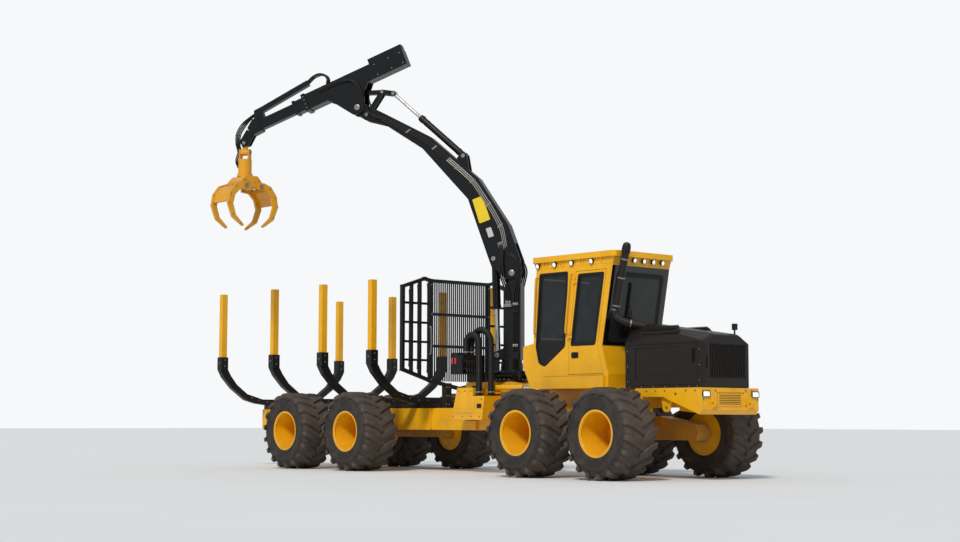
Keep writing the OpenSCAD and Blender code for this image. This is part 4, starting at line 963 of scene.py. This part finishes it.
red_lens, tree, shader = principled("red_lens")
ring = node(tree, "TexWave", {"Vector": local(tree), "Scale": 60.0, "Distortion": 0.4}).outputs["Color"]
feed(shader, {"Base Color": mix(ring, (0.30, 0.006, 0.006, 1), (0.62, 0.015, 0.012, 1)), "Roughness": 0.15,
              "Coat Weight": 1.0})
reds, cover = bmesh.new(), bmesh.new()
for y in (-0.55, -0.75):
    turned(reds, [(0.030, 0), (0.030, 0.010), (0.022, 0.022), (0.0005, 0.026)], spot(-1.16, y, 2.1902), UP, 24)
for x in (-1.352, -1.262):
    plate(reds, box(x, 1.985, x + 0.048, 2.098, 0.012), 0.9055, 0.921, flank(-1))
made("red_lamps", reds, red_lens, "rear_machine", "lamp_white", smooth=40)
plate(cover, box(-1.385, 1.830, -1.070, 2.125, 0.02), 0.9002, 0.906, flank(-1))
nuts(cover, [spot(x, -0.906, z) for x in (-1.372, -1.085) for z in (1.845, 2.112)], -Y, 0.010, 0.009)
made("valve_cover", cover, crane_black, "rear_machine", "black_paint", bevel=0.002)

# ---- Crane foot and pins ----
# The slewing ring is held by a circle of cap screws, and the slewing cylinders have screwed end caps. Each
# pin of the crane is turned steel with a keeper bolt.
CRANE_WAY = math.radians(213)
along = Vector((math.cos(CRANE_WAY), math.sin(CRANE_WAY), 0))
sideways = Vector((-math.sin(CRANE_WAY), math.cos(CRANE_WAY), 0))
SLEW_AT = spot(-0.710, 0, 0)
STICK_FALL = math.radians(21.5)
FACES = {"near": 1, "far": -1}


def crane(reach, height, across=0.0):
    """A point in the crane's own plane, and its distance toward the side that the camera sees."""
    return SLEW_AT + along * reach + sideways * across + UP * height


def stick(u, v, across=0.0):
    """A point along the stick and above its pin."""
    return crane(3.010 + u * math.cos(STICK_FALL) + v * math.sin(STICK_FALL),
                 6.890 - u * math.sin(STICK_FALL) + v * math.cos(STICK_FALL), across)


def beside(side):
    """Places an outline of (reach, height) at a depth beside the crane's plane."""
    return lambda u, v, depth: crane(u, v, side * depth)


ring, ends = bmesh.new(), bmesh.new()
nuts(ring, circle(20, 0.292, SLEW_AT + UP * 1.7002), UP, 0.013, 0.016)
in_steel("slew_ring_screws", ring, "rear_machine", smooth=25)
for side in (-1, 1):
    for x, way in ((-1.0905, -1), (-0.3795, 1)):
        turned(ends, [(0.076, 0), (0.076, 0.012), (0.064, 0.018), (0.030, 0.018), (0.026, 0.030),
                      (0.0005, 0.031)], spot(x, side * 0.190, 1.790), X * way, 32)
        nuts(ends, circle(6, 0.050, spot(x + way * 0.018, side * 0.190, 1.790), Y, UP), X * way, 0.007, 0.006)
made("slew_cylinder_ends", ends, crane_black, "rear_machine", "black_paint", smooth=30)

pins = [
    # body, point, half width of what it passes through, radius
    ("main_boom", crane(-0.030, 3.660), 0.1502, 0.056), ("main_boom", crane(0.315, 3.930), 0.1582, 0.044),
    ("slew_column", crane(0.262, 2.150), 0.0962, 0.046), ("main_boom", crane(0.920, 5.880), 0.1082, 0.040),
    ("rocker_arm", crane(2.830, 6.750), 0.1242, 0.036), ("link_arm", crane(2.540, 7.180), 0.0782, 0.034),
    ("rocker_arm", crane(2.320, 7.140), 0.0702, 0.034), ("stick_box", crane(3.010, 6.890), 0.1552, 0.056),
    ("stick_box", stick(-0.115, 0.270), 0.1252, 0.044), ("hanger_link", stick(2.404, 0.335), 0.0702, 0.034),
]
pin_heads = {}
for body, point, half, radius in pins:
    built = pin_heads.setdefault(body, bmesh.new())
    for out in (-sideways, sideways):
        turned(built, [(radius, 0), (radius, 0.007), (radius * 0.86, 0.011), (radius * 0.30, 0.011),
                       (radius * 0.28, 0.007), (0.0005, 0.007)], point + out * half, out, 32)
        nut(built, point + out * (half + 0.010) + along * radius * 0.60, out, 0.0075, 0.007)
for body, built in pin_heads.items():
    in_steel("pin_heads_" + body, built, body, smooth=30)

# ---- Crane pipes and hoses ----
# Steel pipes run near the upper edge of the boom's lower half, on both sides, with rubber hoses on to its
# tip. Hoses loop round each joint, from fittings on one body to fittings on the next.
PIPE_GAPS = (0.0, 0.034, 0.068)
LIFT_GAPS = (0.0, 0.036, 0.072)
HEAD_HOSES_ACROSS = (-0.036, -0.012, 0.012, 0.036)
PIPES_ACROSS = 0.1655
BOOM_FACE, COLUMN_FACE = 0.1502, 0.150
BEHIND_X, BEHIND_Z = 0.80, -0.60  # which way each next pipe on the boom lies from the last
boom_route = [(p.x, p.y) for p in smoothed([
    (0.06, 4.16, 0), (0.13, 4.50, 0), (0.31, 4.85, 0), (0.51, 5.16, 0), (0.69, 5.41, 0), (0.94, 5.64, 0),
    (1.26, 5.92, 0), (1.61, 6.21, 0), (2.02, 6.44, 0), (2.45, 6.655, 0)])]
PIPES_END = 35
# Hose routes: reach and height, distance across, and how far each next hose lies from the last, which a
# gap multiplies. Rows with stick are measured along the stick.
COLUMN_HOSES = [
    (crane, -0.14, 2.16, 0.168, 1, 0), (crane, -0.14, 2.50, 0.171, 1, 0), (crane, -0.14, 2.95, 0.171, 1, 0),
    (crane, -0.15, 3.28, 0.172, 1, 0), (crane, -0.20, 3.50, 0.180, 1, 0), (crane, -0.235, 3.72, 0.186, 1, 0),
    (crane, -0.15, 3.92, 0.182, 1, 0), (crane, -0.03, 4.03, 0.172, 0.9, -0.3),
    (crane, 0.06, 4.16, PIPES_ACROSS, 0.8, -0.6)]
LIFT_HOSES = [
    (crane, -0.005, 3.105, 0.170, 1, 0), (crane, -0.005, 3.20, 0.172, 1, 0), (crane, 0.035, 3.40, 0.190, 1, 0),
    (crane, 0.105, 3.62, 0.206, 0.9, 0), (crane, 0.125, 3.86, 0.204, 0.7, 0),
    (crane, 0.125, 4.06, 0.186, 0.7, 0), (crane, 0.150, 4.20, 0.1665, 0.8, -0.3)]
TIP_HOSES = [
    (crane, 2.45, 6.655, PIPES_ACROSS, 0.8, -0.6), (crane, 2.66, 6.72, 0.178, 0.2, -0.6),
    (crane, 2.84, 6.82, 0.190, -1, 1), (crane, 2.90, 6.99, 0.194, -1, 0.4),
    (stick, -0.16, 0.25, 0.192, -1, 0.3), (stick, -0.13, 0.42, 0.186, -1, 0),
    (stick, -0.06, 0.53, 0.172, -1, 0), (stick, 0.10, 0.585, 0.146, 0, 0.9),
    (stick, 0.34, 0.600, 0.140, 0, 1), (stick, 0.60, 0.600, 0.140, 0, 1)]
# Hoses that lie side by side: reach and height, and how far they spread
ARCH_HOSES = [
    (stick, 0.86, 0.893, 1), (stick, 0.800, 0.905, 1), (stick, 0.640, 0.962, 1), (stick, 0.500, 0.956, 1),
    (stick, 0.400, 0.880, 1), (stick, 0.385, 0.790, 1), (stick, 0.425, 0.722, 1)]
HEAD_HOSES = [
    (stick, 1.80, 0.800, 1), (stick, 1.93, 0.795, 1), (stick, 2.10, 0.765, 1.4), (stick, 2.30, 0.690, 2.6),
    (stick, 2.47, 0.560, 2.6), (stick, 2.545, 0.400, 2.6), (crane, 5.505, 6.235, 2.6),
    (crane, 5.475, 6.130, 2.6)]
DROP_HOSES = [
    (crane, 5.475, 6.130, 2.6), (crane, 5.500, 6.060, 2.73), (crane, 5.520, 5.985, 2.6),
    (crane, 5.515, 5.915, 2.34), (crane, 5.490, 5.870, 2.08), (crane, 5.455, 5.850, 1.82)]


def stacked(route, gaps, side, radius):
    """Hoses one behind another on one side of the crane."""
    built = bmesh.new()
    for gap in gaps:
        tube(built, [place(u + gap * du, v + gap * dv, side * across) for place, u, v, across, du, dv in route],
             radius)
    return built


def abreast(route, offsets, radius, sides=12):
    """Hoses side by side over the crane's middle."""
    built = bmesh.new()
    for offset in offsets:
        tube(built, [place(u, v, offset * spread) for place, u, v, spread in route], radius, sides)
    return built


def between(name, built, first):
    """Hoses that run between two bodies; the piece is put on the first, then unparented and fixed where it
    lies.
    """
    piece = in_rubber(name, built, first, smooth=50)
    piece.parent = None
    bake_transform(piece)


for name, side in FACES.items():
    for kind, radius, stretch in (("pipes", 0.0125, boom_route[:PIPES_END]),
                                  ("hoses", 0.0145, boom_route[PIPES_END - 1:])):
        lines = bmesh.new()
        for gap in PIPE_GAPS:
            line = [crane(x + gap * BEHIND_X, z + gap * BEHIND_Z, side * PIPES_ACROSS) for x, z in stretch]
            tube(lines, line, radius, fine=1)
            if kind == "pipes":
                nut(lines, line[0], line[0] - line[1], 0.0165, 0.026)
                nut(lines, line[-1], line[-1] - line[-2], 0.0165, 0.026)
        finish = in_steel if kind == "pipes" else in_rubber
        finish("boom_%s_%s" % (kind, name), lines, "main_boom")
    held = bmesh.new()
    for k in (7, 14, 24, 31, 39, 47):
        x, z = boom_route[k]
        way = (Vector(boom_route[k + 1]) - Vector(boom_route[k - 1])).normalized()
        plate(held, box(-0.016, -0.022, 0.016, 0.092, 0.006), COLUMN_FACE, 0.180, lambda u, v, depth: crane(
            x + u * way.x + v * BEHIND_X, z + u * way.y + v * BEHIND_Z, side * depth))
        nuts(held, [crane(x + v * BEHIND_X, z + v * BEHIND_Z, side * 0.180) for v in (-0.012, 0.082)],
             sideways * side, 0.007, 0.006)
    in_steel("boom_line_clamps_" + name, held, "main_boom", bevel=0.002)

for name, side in FACES.items():
    between("column_hoses_" + name, stacked(COLUMN_HOSES, PIPE_GAPS, side, 0.0145), "slew_column")
    feet = bmesh.new()
    plate(feet, box(-0.175, 2.09, -0.035, 2.20, 0.01), COLUMN_FACE, 0.186, beside(side))
    plate(feet, box(-0.170, 2.93, -0.040, 2.97, 0.01), COLUMN_FACE, 0.190, beside(side))
    made("column_hose_clamps_" + name, feet, crane_black, "slew_column", "black_paint", bevel=0.003)
    between("lift_hoses_" + name, stacked(LIFT_HOSES, LIFT_GAPS, side, 0.0140), "slew_column")
    low_ends, high_ends = bmesh.new(), bmesh.new()
    plate(low_ends, box(-0.035, 3.035, 0.098, 3.085, 0.008), COLUMN_FACE, 0.190, beside(side))
    for gap in LIFT_GAPS:
        nut(low_ends, crane(-0.005 + gap, 3.085, side * 0.170), UP, 0.0175, 0.060)
        nuts(low_ends, [crane(-0.14 + gap * 0.944, z, side * 0.170) for z in (2.30, 3.06)], UP, 0.0185, 0.050)
        x, z = 0.150 + gap * 0.8, 4.20 - gap * 0.3
        nut(high_ends, crane(x, z, side * 0.1665), along * -0.15 - UP, 0.0175, 0.060)
        nut(high_ends, crane(x + 0.004, z + 0.025, side * COLUMN_FACE), sideways * side, 0.020, 0.034)
    in_steel("hose_fittings_" + name, low_ends, "slew_column", smooth=30)
    in_steel("lift_hose_fittings_" + name, high_ends, "main_boom", smooth=30)
    between("tip_hoses_" + name, stacked(TIP_HOSES, PIPE_GAPS[:2], side, 0.0135), "main_boom")

# The arch hoses lie over the hose arch; the others go on along the channel and down to the grapple
in_rubber("arch_hoses", abreast(ARCH_HOSES, (-0.048, -0.016, 0.016, 0.048), 0.0215, 14),
          "second_extension", smooth=50)
between("head_hoses", abreast(HEAD_HOSES, HEAD_HOSES_ACROSS, 0.0125), "second_extension")
between("drop_hoses", abreast(DROP_HOSES, HEAD_HOSES_ACROSS, 0.0125), "hanger_link")

# ---- Crane bolts, plates and glands ----
# Rows of cap screws on the stick, blank painted plates on the boom, and on each cylinder a gland nut,
# weld bands and a steel return pipe.
stick_bolts = bmesh.new()
for side in (-1, 1):
    places = [(u, v, 0.1252) for u in (-1.14, -0.90, -0.60) for v in (0.43, 0.64)]
    places += [(0.940, v, 0.1452) for v in (0.42, 0.50, 0.58, 0.65)]
    nuts(stick_bolts, [stick(u, v, side * across) for u, v, across in places], sideways * side, 0.010, 0.009)
in_steel("stick_bolts", stick_bolts, "stick_box", smooth=25)

plate_yellow = painted("blank_plate_enamel", (0.87, 0.62, 0.02, 1), 0.30, 0.4, 0.25, rounding=0.002, chips=0.1)
plate_pale = painted("blank_plate_pale", (0.62, 0.62, 0.58, 1), 0.35, 0.4, 0.25, rounding=0.002, chips=0.1)
for name, side in FACES.items():
    blank, low_blank = bmesh.new(), bmesh.new()
    plate(blank, rounded([(0.375, 4.660), (0.585, 4.590), (0.725, 5.040), (0.535, 5.105)], 0.02),
          BOOM_FACE, 0.1530, beside(side))
    made("blank_plate_" + name, blank, plate_yellow, "main_boom", "yellow_paint", bevel=0.001)
    plate(low_blank, rounded([(0.305, 4.350), (0.405, 4.320), (0.465, 4.490), (0.365, 4.520)], 0.015),
          BOOM_FACE, 0.1525, beside(side))
    made("blank_low_plate_" + name, low_blank, plate_pale, "main_boom", "black_paint", bevel=0.001)

for name, start, end, radius, share in (("lift", crane(0.315, 3.930), crane(0.262, 2.150), 0.075, 0.52),
                                        ("stick", crane(0.920, 5.880), crane(2.320, 7.140), 0.063, 0.62)):
    gland = bmesh.new()
    for at, wide, grow in ((share - 0.030, 0.030, 0.007), (0.075, 0.020, 0.006), (share - 0.10, 0.012, 0.004)):
        turned(gland, [(radius - 0.002, -wide), (radius + grow, -wide + 0.004), (radius + grow, wide - 0.004),
                       (radius - 0.002, wide)], start.lerp(end, at), end - start, 40)
    return_pipe = ((0.10, 0.002), (0.13, 0.014), (0.30, 0.014), (share - 0.05, 0.014), (share - 0.035, 0.002))
    tube(gland, [start.lerp(end, at) + sideways * (radius + off) for at, off in return_pipe], 0.008, sides=10)
    made(name + "_cylinder_gland", gland, crane_black, name + "_case", "black_paint", smooth=30)

# ---- Grapple fittings ----
# The hanger, rotator and jaws are cast and welded steel in the frame's yellow; pins, cap screws
# and the rotator's hose ports are bare or plated.
HANG_AT = stick(2.404, 0.335)


def grip(x, y, down):
    """A point from the grapple's hanging pin; logs lie along x."""
    return HANG_AT + Vector((x, y, -down))


cross_pins, ports, grapple_pins = bmesh.new(), bmesh.new(), bmesh.new()
for out in (-along, along):
    at = HANG_AT + out * 0.1122 - UP * 0.180
    turned(cross_pins, [(0.040, 0), (0.040, 0.008), (0.034, 0.012), (0.0005, 0.012)], at, out, 28)
    nut(cross_pins, at + out * 0.012, out, 0.010, 0.008)
in_steel("cross_pin_heads", cross_pins, "hanger_link", smooth=30)
for across, reach in ((-0.066, 0.122), (-0.022, 0.134), (0.022, 0.134), (0.066, 0.122)):
    turned(ports, [(0.019, 0.085), (0.019, reach), (0.014, 0.138), (0.0005, 0.140)],
           crane(5.3695, 5.850, across), along, 6)
nuts(ports, circle(12, 0.105, HANG_AT - UP * 0.3200), UP, 0.009, 0.009)
in_steel("rotator_ports", ports, "rotator_housing", smooth=30)
nuts(grapple_pins, circle(16, 0.136, HANG_AT - UP * 0.7195), -UP, 0.0095, 0.010)
for s in (-1, 1):
    for t in (-1, 1):
        nuts(grapple_pins, [grip(s * 0.2502, t * y, down) for y, down in ((0.15, 0.745), (0.06, 0.785))], X * s,
             0.011, 0.010)
    for t in (-1, 1):
        at = grip(s * 0.3282, t * 0.170, 0.860)
        turned(grapple_pins, [(0.044, 0), (0.044, 0.009), (0.037, 0.014), (0.0005, 0.014)], at, X * s, 28)
        nut(grapple_pins, at + Vector((s * 0.014, 0, 0.018)), X * s, 0.009, 0.008)
in_steel("grapple_pins", grapple_pins, "grapple", smooth=30)
for name, side, body in (("r", -1, "right_jaw"), ("l", 1, "left_jaw")):
    plugs = bmesh.new()
    for s in (-1, 1):
        for y, down in ((0.385, 0.895), (0.510, 1.060), (0.555, 1.230), (0.460, 1.450), (0.290, 1.605)):
            turned(plugs, [(0.016, 0), (0.016, 0.004), (0.011, 0.006), (0.0005, 0.006)],
                   grip(s * 0.3202, side * y, down), X * s, 18)
    in_steel("jaw_plugs_" + name, plugs, body, smooth=30)
